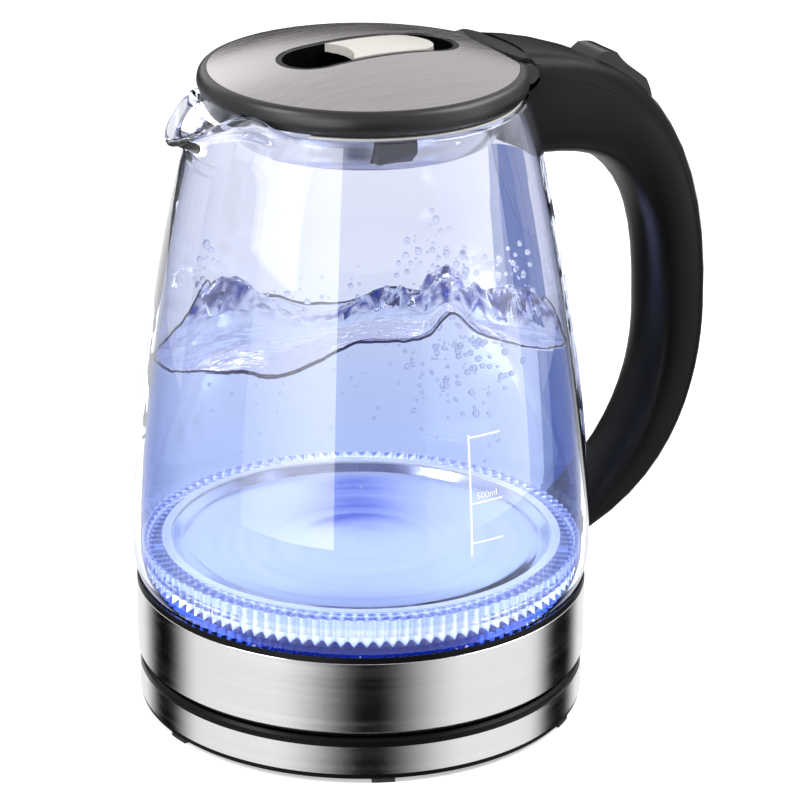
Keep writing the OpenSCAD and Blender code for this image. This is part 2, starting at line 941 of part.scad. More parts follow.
// Inside the head: two cheeks that hold the lever's pin, and the seat of the steam switch
module handle_bosses() {
    cheek_t = 11.5;
    for (y = [-20, 20 - cheek_t])
        block(switch_x - 6, switch_x + 6, y, y + cheek_t, switch_z - 8, switch_z + 5.5);
    block(64, 76, -9, 9, 190, steam_switch_z);
}

module handle_cover() {
    color(black)
        difference() {
            union() {
                difference() {
                    intersection() {
                        handle_form(0);
                        cover_zone(0);
                    }
                    handle_cavity();
                    handle_stop(fixed_gap);
                    lug_room();
                }
                hinge_nose();
            }
            lever_opening(lever_w + 1, lever_gap);
            cross_pin(hinge_x, hinge_z, hinge_pin_r + running_gap, 60);
        }
}

module handle_screw() {
    color(steel)
        translate([lug_x, 0, 0]) {
            disc(handle_screw_r, lug_low - 1, 54);
            disc(2.7, lug_low - 1.6, lug_low);
        }
}

// Steam-operated switch in the handle's head, with the blade that the lever presses
module steam_switch() {
    color([0.86, 0.84, 0.78]) {
        block(65, 75, -10, 10, steam_switch_z, steam_switch_z + 9);
        block(74, 88, -3, 3, steam_switch_z + 1, steam_switch_z + 1.6);
    }
}

module switch_pin() {
    color(steel)
        cross_pin(switch_x, switch_z, switch_pin_r, 23.8);
}

// Thumb lever: a crest at the front and a hollow slope behind it
module switch_lever() {
    crest = [[80, 224.4], [88, 226.4], [94, 227], [97.8, 225.4]];
    slope = [[97.8, 225.4], [101, 220.4], [106, 218.2], [110.6, 214]];
    inner_w = lever_w - 3.6;
    color(black)
        difference() {
            side_profile(lever_w)
                intersection() {
                    polygon(concat(
                        bezier_points(crest, 10),
                        bezier_points(slope, 8),
                        [[112.3, 210], [113, 207.5], [switch_x + 7.5, switch_z - 4.5],
                         [switch_x, switch_z - 8.1], [switch_x - 7, switch_z - 2.5],
                         [switch_x - 20, switch_z + 8.5], [78, switch_z + 10]]
                    ));
                    translate([switch_x, switch_z])
                        circle(lever_front_r);
                }
            cross_pin(switch_x, switch_z, switch_pin_r + running_gap, lever_w + 2);
            block(76, switch_x - 7.5, -inner_w / 2, inner_w / 2, 200, 219.5);
        }
}

// ---------- lid ----------

// Room for the handle's head: the barrel, and everything behind it
module head_room() {
    hinge_barrel(moving_gap);
    block(hinge_x, 75, -head_half_w - moving_gap, head_half_w + moving_gap, 215, 245);
}

module lid_rim() {
    underside = [[53.2, rim_low], [56, rim_low + 0.6], [rim_r, rim_low + 2.6], [rim_r, 227.6]];
    shoulder = [[rim_r, 227.6], [rim_r, 230.6], [55.4, 232.1], [plate_r + 0.15, 232.05]];
    color(charcoal)
        difference() {
            union() {
                difference() {
                    revolved(concat(
                        [[0, deck_z], [45.4, deck_z], [45.8, rim_low]],
                        bezier_points(underside, 6),
                        bezier_points(shoulder, 6),
                        [[plate_r + 0.15, 231], [47, 231], [47, deck_z + deck_t],
                         [0, deck_z + deck_t]]
                    ));
                    head_room();
                }
                for (side = [-1, 1])
                    translate([0, side * (head_half_w + moving_gap + 0.2 + ear_t / 2), 0])
                        cross_pin(hinge_x, hinge_z, ear_r, ear_t);
                slider_rails();
                spout_tongue();
            }
            spout_relief();
            cross_pin(hinge_x, hinge_z, hinge_pin_r, 60);
            leg_slots(deck_z - 1, deck_z + 3);
        }
}

// Where the rim hangs lower, over the spout's channel: it leans in and ends in an arc
module spout_tongue() {
    bow_r = 46;
    lean = 1.6;
    tongue_t = 2.2;
    tongue_top = 227;
    intersection() {
        revolved([
            [rim_r - 0.2, tongue_top], [rim_r - 0.2 - tongue_t, tongue_top],
            [rim_r - 0.2 - tongue_t - lean, tongue_low], [rim_r - 0.2 - lean, tongue_low]
        ]);
        translate([-rim_r - 2, 0, tongue_low + bow_r])
            rotate([0, 90, 0])
                cylinder(r = bow_r, h = 10);
        block(-rim_r, -48, -tongue_half_w, tongue_half_w, tongue_low, tongue_top);
    }
}

// Room on each side of the tongue for the raised shoulders of the spout
module spout_relief() {
    first = 16;
    last = 35;
    for (start = [180 + first, 180 - last])
        rotate([0, 0, start])
            rotate_extrude(angle = last - first)
                polygon([
                    [54.3, rim_low - 1], [54.3, 223.6], [rim_r - 0.6, 226.8],
                    [rim_r + 5, 226.8], [rim_r + 5, rim_low - 1]
                ]);
}

// Rails under the deck that the latch's slider runs in
module slider_rails() {
    for (side = [-1, 1])
        mirror([0, side < 0 ? 1 : 0, 0]) {
            block(-26, 30, slider_half_w + 0.3, slider_half_w + 2.3, slider_z - 1.6, deck_z + 0.1);
            block(-26, 30, slider_half_w - 2, slider_half_w + 2.3, slider_z - 1.6, slider_z - 0.3);
        }
}

// Slots that the tab's legs move in
module leg_slots(z0, z1) {
    for (side = [-1, 1])
        block(7.4, 13.6 + latch_travel, side * 5 - 1.9, side * 5 + 1.9, z0, z1);
}

module lid_plate() {
    color(steel)
        difference() {
            intersection() {
                dome(0);
                disc(plate_r, 228, 240);
            }
            dome(0.8);
            stadium(slot_l + 0.2, slot_w + 0.2, slot_x, 225, 245);
            head_room();
        }
}

// Tray behind the finger slot
module lid_recess() {
    color(black)
        intersection() {
            difference() {
                stadium(slot_l, slot_w, slot_x, deck_z + deck_t + 0.05, 240);
                stadium(slot_l - 4, tray_inner_w, slot_x, deck_z + deck_t + 1.6, 241);
                leg_slots(deck_z, deck_z + 5);
            }
            dome(0.3);
        }
}

module lid_cup() {
    color(steel)
        difference() {
            revolved([
                [0, cup_low_z], [cup_low_r - 0.8, cup_low_z], [cup_low_r, cup_low_z + 0.8],
                [cup_top_r, 222], [cup_top_r, rim_low - 0.05], [cup_top_r - cup_t, rim_low - 0.05],
                [cup_top_r - cup_t, 222], [cup_low_r - cup_t, cup_low_z + 1],
                [cup_low_r - 1, cup_low_z + cup_t], [0, cup_low_z + cup_t]
            ]);
            cross_pin(hinge_x, hinge_z, barrel_mid_r + moving_gap, 2 * head_half_w + 2);
            block(catch_x - catch_w / 2 - 0.5, catch_x + catch_w / 2 + 0.5, -60, 60,
                  catch_z - 0.5, catch_nose_top + 0.5);
        }
}

// Seal that lies on the glass, open at the spout
module lid_gasket() {
    gasket_out = 54.6;
    color(silicone)
        difference() {
            ring(gasket_out, cup_top_r + 0.1, mouth_z + 0.35, rim_low - 0.05);
            head_room();
            translate([0, 0, 200])
                linear_extrude(40)
                    polygon([[0, 0], [-90, -90 * tan(spout_half_angle + 6)],
                             [-90, 90 * tan(spout_half_angle + 6)]]);
        }
}

// Channel on the cup's floor that the two catches slide in
module catch_guide() {
    half_w = catch_w / 2 + 0.3;
    color(charcoal)
        difference() {
            block(catch_x - half_w - 1.4, catch_x + half_w + 1.4, -38.5, 38.5,
                  cup_low_z + cup_t + 0.05, catch_bar_top);
            block(catch_x - half_w, catch_x + half_w, -43, 43, catch_z - 0.3, 225);
            block(catch_x - half_w - 2, catch_x + half_w + 2, -slider_half_w - 4, slider_half_w + 4,
                  catch_z + 2, 225);
        }
}

module hinge_pin() {
    color(steel)
        cross_pin(hinge_x, hinge_z, hinge_pin_r, 2 * (head_half_w + moving_gap + 0.2 + ear_t));
}

// Tab that a finger pulls, with a hollow end and two legs
module latch_tab() {
    thumb_r = 16;
    thumb_x = tab_x0 - sqrt(thumb_r * thumb_r - tab_w * tab_w / 4);
    tab_start = thumb_x + 2;
    tab_low = plate_edge_z + plate_rise - tab_t - 1.4;
    color(champagne) {
        intersection() {
            difference() {
                stadium(tab_x1 - tab_start, tab_w, (tab_x1 + tab_start) / 2, tab_low, 245);
                translate([thumb_x, 0, tab_low - 1])
                    cylinder(r = thumb_r, h = 20);
            }
            dome(0.1);
        }
        for (side = [-1, 1])
            block(8, 13, side * 5 - 1.5, side * 5 + 1.5, slider_z + slider_t,
                  plate_edge_z + plate_rise - 1.6);
    }
}

// Plate with two slanted slots that draw the catches in
module latch_slider() {
    slot_r = cam_pin_r + 0.3;
    color(charcoal)
        difference() {
            block(-27, 22, -slider_half_w, slider_half_w, slider_z, slider_z + slider_t);
            for (side = [-1, 1])
                translate([catch_x, side * cam_pin_y, slider_z - 1])
                    linear_extrude(slider_t + 2)
                        cam_slot(side, slot_r);
        }
}

module cam_slot(side, slot_r) {
    slant = atan(cam_ratio);
    run = norm([latch_travel, catch_travel]);
    rotate(180 + side * slant)
        union() {
            circle(slot_r, $fn = 48);
            translate([run, 0])
                circle(slot_r, $fn = 48);
            translate([0, -slot_r])
                square([run, 2 * slot_r]);
        }
}

// Sliding catch with a bevelled nose, on the side of positive Y
module catch_form() {
    intersection() {
        union() {
            translate([catch_x + catch_w / 2, 0, 0])
                rotate([90, 0, -90])
                    linear_extrude(catch_w)
                        polygon([
                            [-4.2, catch_z], [-46.4, catch_z], [-51, catch_z + 4.2],
                            [-51, catch_nose_top], [-38.6, catch_nose_top],
                            [-38.6, catch_bar_top], [-4.2, catch_bar_top]
                        ]);
            translate([catch_x, cam_pin_y, catch_bar_top - 0.1])
                cylinder(r = cam_pin_r, h = slider_z + slider_t - catch_bar_top + 0.1, $fn = 48);
        }
        disc(catch_tip_r, 200, 230);
    }
}

module catch_left() {
    color(navy)
        catch_form();
}

module catch_right() {
    color(navy)
        mirror([0, 1, 0])
            catch_form();
}

// ---------- nodes ----------

base_tray();
base_cover();
base_trim();
base_feet();
base_connector();
base_contacts();
cord_gland();
base_screws();
live_pin();
bottom_shell();
body_band();
support_ring();
kettle_connector();
ring_contact();
thermostat();
bimetal_discs();
heating_plate();
heat_spreader();
heating_element();
plate_seal();
light_ring();
led_board();
leds();
glass_jug();
handle_grip();
handle_cover();
handle_screw();
steam_switch();
switch_pin();
switch_lever();
lid_rim();
lid_plate();
lid_recess();
lid_cup();
lid_gasket();
catch_guide();
hinge_pin();
latch_tab();
latch_slider();
catch_left();
catch_right();
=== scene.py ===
# %% [markdown]
# # A cordless glass kettle on its power base
# The metal, plastic and seal parts come from the frame, in metres, and keep their shapes.
# This lesson gives them their finishes, blows the glass jug, fills it with water, and sets up
# a white studio round it. Every cell makes one thing and prints what it made.

# %% Load the frame
import math
import random

import bmesh
import bpy
from mathutils import Matrix, Quaternion, Vector, noise


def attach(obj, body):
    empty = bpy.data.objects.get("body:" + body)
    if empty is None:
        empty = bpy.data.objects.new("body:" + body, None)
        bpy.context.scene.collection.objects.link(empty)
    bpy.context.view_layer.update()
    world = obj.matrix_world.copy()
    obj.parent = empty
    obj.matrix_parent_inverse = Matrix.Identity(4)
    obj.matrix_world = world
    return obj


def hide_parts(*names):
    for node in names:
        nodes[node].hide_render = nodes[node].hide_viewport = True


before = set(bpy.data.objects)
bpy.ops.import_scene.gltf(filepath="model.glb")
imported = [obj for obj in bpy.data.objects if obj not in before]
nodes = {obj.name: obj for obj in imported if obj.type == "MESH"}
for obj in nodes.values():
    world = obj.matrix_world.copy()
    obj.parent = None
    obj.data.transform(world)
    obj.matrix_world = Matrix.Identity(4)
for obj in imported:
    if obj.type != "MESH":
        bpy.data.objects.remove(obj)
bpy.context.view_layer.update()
MM = 0.001

# %% [markdown]
# ## The camera
# A long lens far away keeps the rings of the kettle nearly flat ellipses, as in a catalogue.
# It could be placed by eye, but one worked out from the rings' heights and widths is exact, so
# its place, its aim and a small roll are written down as numbers.

# %% Camera
VIEW_FROM = Vector((-598.455, -1062.087, 587.494)) * MM
VIEW_ALONG = Vector((0.46602298, 0.80614767, -0.36462106))
VIEW_ROLL = math.radians(0.5)
LENS = 167.58
SIDEWAYS = VIEW_ALONG.cross(Vector((0, 0, 1))).normalized()

camera = bpy.data.objects.new("camera", bpy.data.cameras.new("camera"))
camera.data.lens = LENS
camera.data.sensor_width = 36
camera.data.clip_end = 50
camera.location = VIEW_FROM
upright = VIEW_ALONG.to_track_quat("-Z", "Y")
camera.rotation_euler = (upright @ Quaternion((0, 0, 1), VIEW_ROLL)).to_euler()
bpy.context.scene.collection.objects.link(camera)
bpy.context.scene.camera = camera
bpy.context.scene.view_settings.view_transform = "Standard"
camera_side = math.degrees(math.atan2(VIEW_FROM.y, VIEW_FROM.x))
print("camera at azimuth", round(camera_side, 1))

# %% [markdown]
# ## Helpers for meshes
# Most parts of a kettle are turned, so most pieces start as an outline that is spun round the
# axis. A spin leaves doubled vertices where it closes and at the poles, so they are merged, and
# the faces are made to point outwards, before the mesh becomes an object.

# %% Mesh helpers
DOUBLES = 0.001


def polar(radius, angle, z):
    """A point in millimetres from a radius, an angle in degrees and a height."""
    a = math.radians(angle)
    return Vector((radius * math.cos(a), radius * math.sin(a), z))


def smooth_step(t):
    t = min(1.0, max(0.0, t))
    return t * t * (3 - 2 * t)


def mix(a, b, t):
    return a + (b - a) * t


def bezier(points, t):
    """A point of a cubic curve, as (radius, height)."""
    weights = ((1 - t) ** 3, 3 * t * (1 - t) ** 2, 3 * t * t * (1 - t), t ** 3)
    return tuple(sum(w * p[k] for w, p in zip(weights, points)) for k in (0, 1))


def draw_outline(bm, outline, closed):
    """Edges through (radius, height) points, in the plane y = 0."""
    verts = [bm.verts.new((r, 0, z)) for r, z in outline]
    pairs = list(zip(verts, verts[1:]))
    if closed:
        pairs.append((verts[-1], verts[0]))
    return verts + [bm.edges.new(pair) for pair in pairs]


def turned(outline, steps, closed=False):
    """A bmesh of an outline spun round the axis, in millimetres."""
    bm = bmesh.new()
    shape = draw_outline(bm, outline, closed)
    bmesh.ops.spin(bm, geom=shape, cent=(0, 0, 0), axis=(0, 0, 1), dvec=(0, 0, 0),
                   angle=2 * math.pi, steps=steps, use_merge=True, use_duplicate=False)
    bmesh.ops.remove_doubles(bm, verts=bm.verts, dist=DOUBLES)
    bmesh.ops.recalc_face_normals(bm, faces=bm.faces)
    return bm


def piece(name, bm, material, body, rounded=True):
    """Turns a bmesh in millimetres into an object that rides on a body."""
    bmesh.ops.scale(bm, vec=(MM,) * 3, verts=bm.verts)
    mesh = bpy.data.meshes.new(name)
    bm.to_mesh(mesh)
    bm.free()
    for face in mesh.polygons:
        face.use_smooth = rounded
    for one in material if isinstance(material, list) else [material]:
        mesh.materials.append(one)
    obj = bpy.data.objects.new(name, mesh)
    bpy.context.scene.collection.objects.link(obj)
    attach(obj, body)
    print(name, "has", len(mesh.polygons), "faces")
    return obj


# %% [markdown]
# ## Round shading for the frame's parts
# The frame's parts are exact, but made of flat triangles. Their meshes stay as they are. A Weld
# modifier joins the loose triangles, and a small geometry node tree shades a surface round
# wherever two faces meet at a shallow angle, so that turned and moulded forms look smooth and
# their edges stay crisp.

# %% Shading tree
SHARP_ANGLE = math.radians(32)
WELD_DISTANCE = 1e-6


def shading_tree(limit):
    tree = bpy.data.node_groups.new("round_shading", "GeometryNodeTree")
    tree.interface.new_socket("Geometry", in_out="INPUT", socket_type="NodeSocketGeometry")
    tree.interface.new_socket("Geometry", in_out="OUTPUT", socket_type="NodeSocketGeometry")
    add = tree.nodes.new
    start, end = add("NodeGroupInput"), add("NodeGroupOutput")
    angle, sharp = add("GeometryNodeInputMeshEdgeAngle"), add("FunctionNodeCompare")
    sharp.operation = "GREATER_THAN"
    sharp.inputs[1].default_value = limit
    faces, edges = add("GeometryNodeSetShadeSmooth"), add("GeometryNodeSetShadeSmooth")
    faces.domain, edges.domain = "FACE", "EDGE"
    faces.inputs["Shade Smooth"].default_value = True
    edges.inputs["Shade Smooth"].default_value = False
    link = tree.links.new
    link(start.outputs[0], faces.inputs["Geometry"])
    link(faces.outputs[0], edges.inputs["Geometry"])
    link(angle.outputs["Unsigned Angle"], sharp.inputs[0])
    link(sharp.outputs[0], edges.inputs["Selection"])
    link(edges.outputs[0], end.inputs[0])
    return tree


round_shading = shading_tree(SHARP_ANGLE)


def shade_round(obj):
    weld = obj.modifiers.new("weld", "WELD")
    weld.merge_threshold = WELD_DISTANCE
    shade = obj.modifiers.new("round_shading", "NODES")
    shade.node_group = round_shading


for obj in nodes.values():
    shade_round(obj)
print("rounded the shading of", len(nodes), "parts")

# %% [markdown]
# ## Shared effects
# Real surfaces are never one even colour. A few effects come back in many finishes: a fine
# moulded grain, the marks of straight and of turned brushing, and two that are painted light:
# the blue of the lamps below, painted into the colour of clear things, and painted highlight
# lines on the crystal's flutes. Each is a node group with its own inputs, so that a finish only
# sets their size and strength.

# %% Node group helpers
def new_group(name, inputs, outputs):
    tree = bpy.data.node_groups.new(name, "ShaderNodeTree")
    for label, kind, value in inputs:
        socket = tree.interface.new_socket(label, in_out="INPUT", socket_type=kind)
        socket.default_value = value
    for label, kind in outputs:
        tree.interface.new_socket(label, in_out="OUTPUT", socket_type=kind)
    return tree, tree.nodes.new("NodeGroupInput"), tree.nodes.new("NodeGroupOutput")


def wire(tree, *pairs):
    for start, end in pairs:
        tree.links.new(start, end)


def value_node(tree, operation, *values):
    """A Math node. Each value is a number or a socket."""
    node = tree.nodes.new("ShaderNodeMath")
    node.operation = operation
    for socket, value in zip(node.inputs, values):
        if isinstance(value, (int, float)):
            socket.default_value = value
        else:
            tree.links.new(value, socket)
    return node.outputs[0]


def blend_node(tree, share, first, second):
    """A colour mix. Each colour is a tuple or a socket."""
    node = tree.nodes.new("ShaderNodeMix")
    node.data_type = "RGBA"
    tree.links.new(share, node.inputs[0])
    for socket, value in ((node.inputs[6], first), (node.inputs[7], second)):
        if isinstance(value, tuple):
            socket.default_value = (*value, 1)
        else:
            tree.links.new(value, socket)
    return node.outputs[2]


FLOAT, COLOR = "NodeSocketFloat", "NodeSocketColor"

# %% Grain: the fine texture of a moulding, with its colour and gloss varying a little
grain, given, made = new_group(
    "grain",
    [("Scale", FLOAT, 900.0), ("Patches", FLOAT, 40.0)],
    [("Height", FLOAT), ("Mottle", FLOAT)])
place = grain.nodes.new("ShaderNodeTexCoord")
fine, broad = (grain.nodes.new("ShaderNodeTexNoise") for _ in range(2))
fine.inputs["Detail"].default_value = 3
broad.inputs["Detail"].default_value = 4
wire(grain,
     (place.outputs["Object"], fine.inputs["Vector"]),
     (place.outputs["Object"], broad.inputs["Vector"]),
     (given.outputs["Scale"], fine.inputs["Scale"]),
     (given.outputs["Patches"], broad.inputs["Scale"]),
     (fine.outputs[0], made.inputs["Height"]),
     (broad.outputs[0], made.inputs["Mottle"]))
print("made group", grain.name)

# %% Straight brushing: long marks along one direction, from a stretched noise
straight, given, made = new_group(
    "straight_brushing",
    [("Along", FLOAT, 12.0), ("Across", FLOAT, 2600.0)],
    [("Height", FLOAT), ("Streak", FLOAT)])
place = straight.nodes.new("ShaderNodeTexCoord")
apart = straight.nodes.new("ShaderNodeSeparateXYZ")
stretched = straight.nodes.new("ShaderNodeCombineXYZ")
wire(straight, (place.outputs["Object"], apart.inputs[0]))
for axis, label in enumerate(("Along", "Across", "Across")):
    wire(straight, (value_node(straight, "MULTIPLY", apart.outputs[axis], given.outputs[label]),
                    stretched.inputs[axis]))
marks, streaks = (straight.nodes.new("ShaderNodeTexNoise") for _ in range(2))
for texture, size in ((marks, 1.0), (streaks, 0.18)):
    texture.inputs["Scale"].default_value = size
    texture.inputs["Detail"].default_value = 2
    wire(straight, (stretched.outputs[0], texture.inputs["Vector"]))
wire(straight,
     (marks.outputs[0], made.inputs["Height"]),
     (streaks.outputs[0], made.inputs["Streak"]))
print("made group", straight.name)

# %% Turned brushing: rings or level lines, as a lathe or a polishing belt leaves them
turned_marks, given, made = new_group(
    "turned_brushing",
    [("Rings", FLOAT, 1800.0), ("Levels", FLOAT, 1800.0), ("Round", FLOAT, 2.0)],
    [("Height", FLOAT), ("Streak", FLOAT)])
place = turned_marks.nodes.new("ShaderNodeTexCoord")
apart = turned_marks.nodes.new("ShaderNodeSeparateXYZ")
joined = turned_marks.nodes.new("ShaderNodeCombineXYZ")
wire(turned_marks, (place.outputs["Object"], apart.inputs[0]))
squares = []
for k in (0, 1):
    size = value_node(turned_marks, "ABSOLUTE", apart.outputs[k])
    squares.append(value_node(turned_marks, "POWER", size, 2.0))
radius = value_node(turned_marks, "SQRT", value_node(turned_marks, "ADD", *squares))
turn = value_node(turned_marks, "ARCTAN2", apart.outputs[1], apart.outputs[0])
wire(turned_marks,
     (value_node(turned_marks, "MULTIPLY", radius, given.outputs["Rings"]), joined.inputs[0]),
     (value_node(turned_marks, "MULTIPLY", apart.outputs[2], given.outputs["Levels"]),
      joined.inputs[1]),
     (value_node(turned_marks, "MULTIPLY", turn, given.outputs["Round"]), joined.inputs[2]))
marks, streaks = (turned_marks.nodes.new("ShaderNodeTexNoise") for _ in range(2))
for texture, size in ((marks, 1.0), (streaks, 0.2)):
    texture.inputs["Scale"].default_value = size
    texture.inputs["Detail"].default_value = 2
    wire(turned_marks, (joined.outputs[0], texture.inputs["Vector"]))
wire(turned_marks,
     (marks.outputs[0], made.inputs["Height"]),
     (streaks.outputs[0], made.inputs["Streak"]))
print("made group", turned_marks.name)

# %% Light from below: painted light, how strongly the blue lamps tint clear things at a height
painted_glow, given, made = new_group(
    "light_from_below",
    [("Low", FLOAT, 0.05), ("High", FLOAT, 0.2), ("Bright", COLOR, (1, 1, 1, 1)),
     ("Deep", COLOR, (0.5, 0.65, 1, 1))],
    [("Color", COLOR), ("Share", FLOAT)])
place = painted_glow.nodes.new("ShaderNodeTexCoord")
apart = painted_glow.nodes.new("ShaderNodeSeparateXYZ")
fade = painted_glow.nodes.new("ShaderNodeMapRange")
fade.interpolation_type = "SMOOTHSTEP"
fade.inputs["To Min"].default_value = 1
fade.inputs["To Max"].default_value = 0
wire(painted_glow,
     (place.outputs["Object"], apart.inputs[0]),
     (apart.outputs[2], fade.inputs["Value"]),
     (given.outputs["Low"], fade.inputs["From Min"]),
     (given.outputs["High"], fade.inputs["From Max"]),
     (blend_node(painted_glow, fade.outputs["Result"], given.outputs["Bright"], given.outputs["Deep"]),
      made.inputs["Color"]),
     (fade.outputs["Result"], made.inputs["Share"]))
print("made group", painted_glow.name)

# %% Flutes: painted highlights, bright lines round a ring, one on each rib of the crystal
flutes, given, made = new_group(
    "flutes", [("Count", FLOAT, 110.0), ("Sharpness", FLOAT, 3.0)], [("Line", FLOAT)])
place = flutes.nodes.new("ShaderNodeTexCoord")
apart = flutes.nodes.new("ShaderNodeSeparateXYZ")
wire(flutes, (place.outputs["Object"], apart.inputs[0]))
turn = value_node(flutes, "ARCTAN2", apart.outputs[1], apart.outputs[0])
wave = value_node(flutes, "COSINE", value_node(flutes, "MULTIPLY", turn, given.outputs["Count"]))
half = value_node(flutes, "MULTIPLY_ADD", wave, 0.5, 0.5)
wire(flutes, (value_node(flutes, "POWER", half, given.outputs["Sharpness"]), made.inputs["Line"]))
print("made group", flutes.name)

# %% [markdown]
# ## Finishes
# Each finish is one Principled BSDF. What changes over the surface comes from the groups above.
# What is the same all over, such as how metallic or how glossy it is, is set on the shader's own
# sockets. Clear things also let lamp light through to what is behind them, by turning fully
# transparent for shadow rays.

# %% Finish helpers
GRAIN_DEPTH, BRUSH_DEPTH, RIPPLE_DEPTH = 0.00005, 0.00002, 0.0008


def new_material(name):
    material = bpy.data.materials.new(name)
    material.use_nodes = True
    tree = material.node_tree
    return material, tree, tree.nodes["Principled BSDF"]


def use_group(tree, group, **values):
    node = tree.nodes.new("ShaderNodeGroup")
    node.node_tree = group
    for label, value in values.items():
        node.inputs[label].default_value = value
    return node


MASK_LOW, MASK_HIGH = 0.3, 0.7


def roughness_from(tree, shader, mask, low, high):
    spread = tree.nodes.new("ShaderNodeMapRange")
    spread.inputs["From Min"].default_value = MASK_LOW
    spread.inputs["From Max"].default_value = MASK_HIGH
    spread.inputs["To Min"].default_value = low
    spread.inputs["To Max"].default_value = high
    wire(tree, (mask, spread.inputs["Value"]), (spread.outputs[0], shader.inputs["Roughness"]))


def bump_from(tree, shader, height, strength, distance):
    bump = tree.nodes.new("ShaderNodeBump")
    bump.inputs["Strength"].default_value = strength
    bump.inputs["Distance"].default_value = distance
    wire(tree, (height, bump.inputs["Height"]), (bump.outputs[0], shader.inputs["Normal"]))


def moulded(name, dark, light, rough, gloss=0.5, bump=0.12, scale=900.0):
    """A moulded plastic, rubber or ceramic."""
    material, tree, shader = new_material(name)
    texture = use_group(tree, grain, Scale=scale)
    mottle = texture.outputs["Mottle"]
    wire(tree, (blend_node(tree, mottle, dark, light), shader.inputs["Base Color"]))
    roughness_from(tree, shader, mottle, *rough)
    bump_from(tree, shader, texture.outputs["Height"], bump, GRAIN_DEPTH)
    shader.inputs["Specular IOR Level"].default_value = gloss
    return material


def metal(name, dark, light, rough, brushing, bump=0.15, **sizes):
    """A metal with marks from brushing or turning."""
    material, tree, shader = new_material(name)
    texture = use_group(tree, brushing, **sizes)
    streak = texture.outputs["Streak"]
    wire(tree, (blend_node(tree, streak, dark, light), shader.inputs["Base Color"]))
    roughness_from(tree, shader, streak, *rough)
    bump_from(tree, shader, texture.outputs["Height"], bump, BRUSH_DEPTH)
    shader.inputs["Metallic"].default_value = 1
    return material


# %% Opaque finishes
finish = {
    "black_plastic": moulded("black_plastic", (0.0022, 0.0022, 0.0025), (0.0035, 0.0035, 0.004),
                             (0.3, 0.4), gloss=0.09),
    "charcoal_plastic": moulded("charcoal_plastic", (0.008, 0.008, 0.009), (0.012, 0.012, 0.013),
                                (0.3, 0.4), gloss=0.32),
    "gloss_black": moulded("gloss_black", (0.006, 0.006, 0.008), (0.01, 0.01, 0.012),
                           (0.16, 0.24), gloss=0.26, bump=0.04),
    "rubber": moulded("rubber", (0.012, 0.012, 0.012), (0.02, 0.02, 0.02), (0.6, 0.75), gloss=0.3),
    "silicone": moulded("silicone", (0.6, 0.59, 0.57), (0.7, 0.69, 0.67), (0.45, 0.6)),
    "ceramic": moulded("ceramic", (0.72, 0.68, 0.58), (0.8, 0.77, 0.68), (0.35, 0.5)),
    "circuit_board": moulded("circuit_board", (0.004, 0.012, 0.06), (0.008, 0.02, 0.1),
                             (0.3, 0.4)),
    "champagne_plastic": moulded("champagne_plastic", (0.5, 0.48, 0.45), (0.58, 0.56, 0.52),
                                 (0.24, 0.34), bump=0.05),
    "navy_plastic": moulded("navy_plastic", (0.003, 0.0035, 0.016), (0.005, 0.006, 0.03),
                            (0.2, 0.3), gloss=0.3, bump=0.03),
    "lid_steel": metal("lid_steel", (0.36, 0.335, 0.34), (0.44, 0.415, 0.42), (0.22, 0.3),
                       straight),
    "band_steel": metal("band_steel", (0.72, 0.72, 0.725), (0.82, 0.82, 0.825), (0.13, 0.2),
                        turned_marks, Rings=200.0),
    # The plate's lavender-blue cast is painted light from the blue lamps below; the rest is its
    # steel.
    "plate_steel_blue_light": metal("plate_steel_blue_light", (0.74, 0.73, 0.82), (0.95, 0.93, 0.96), (0.1, 0.2),
                         turned_marks, bump=0.7, Rings=900.0),
    "cup_steel": metal("cup_steel", (0.68, 0.69, 0.72), (0.78, 0.79, 0.82), (0.14, 0.24),
                       turned_marks),
    "polished_steel": metal("polished_steel", (0.7, 0.7, 0.71), (0.78, 0.78, 0.79), (0.1, 0.16),
                            straight, bump=0.05),
    "aluminium": metal("aluminium", (0.56, 0.57, 0.59), (0.64, 0.65, 0.67), (0.3, 0.42), straight),
    "brass": metal("brass", (0.62, 0.45, 0.2), (0.74, 0.56, 0.28), (0.2, 0.32), straight),
}
print("opaque finishes:", len(finish))


# %% Clear finishes
SMUDGE, COAT_ROUGHNESS = 0.015, 0.01
SHADOW_TINT = (0.97, 0.98, 1, 1)


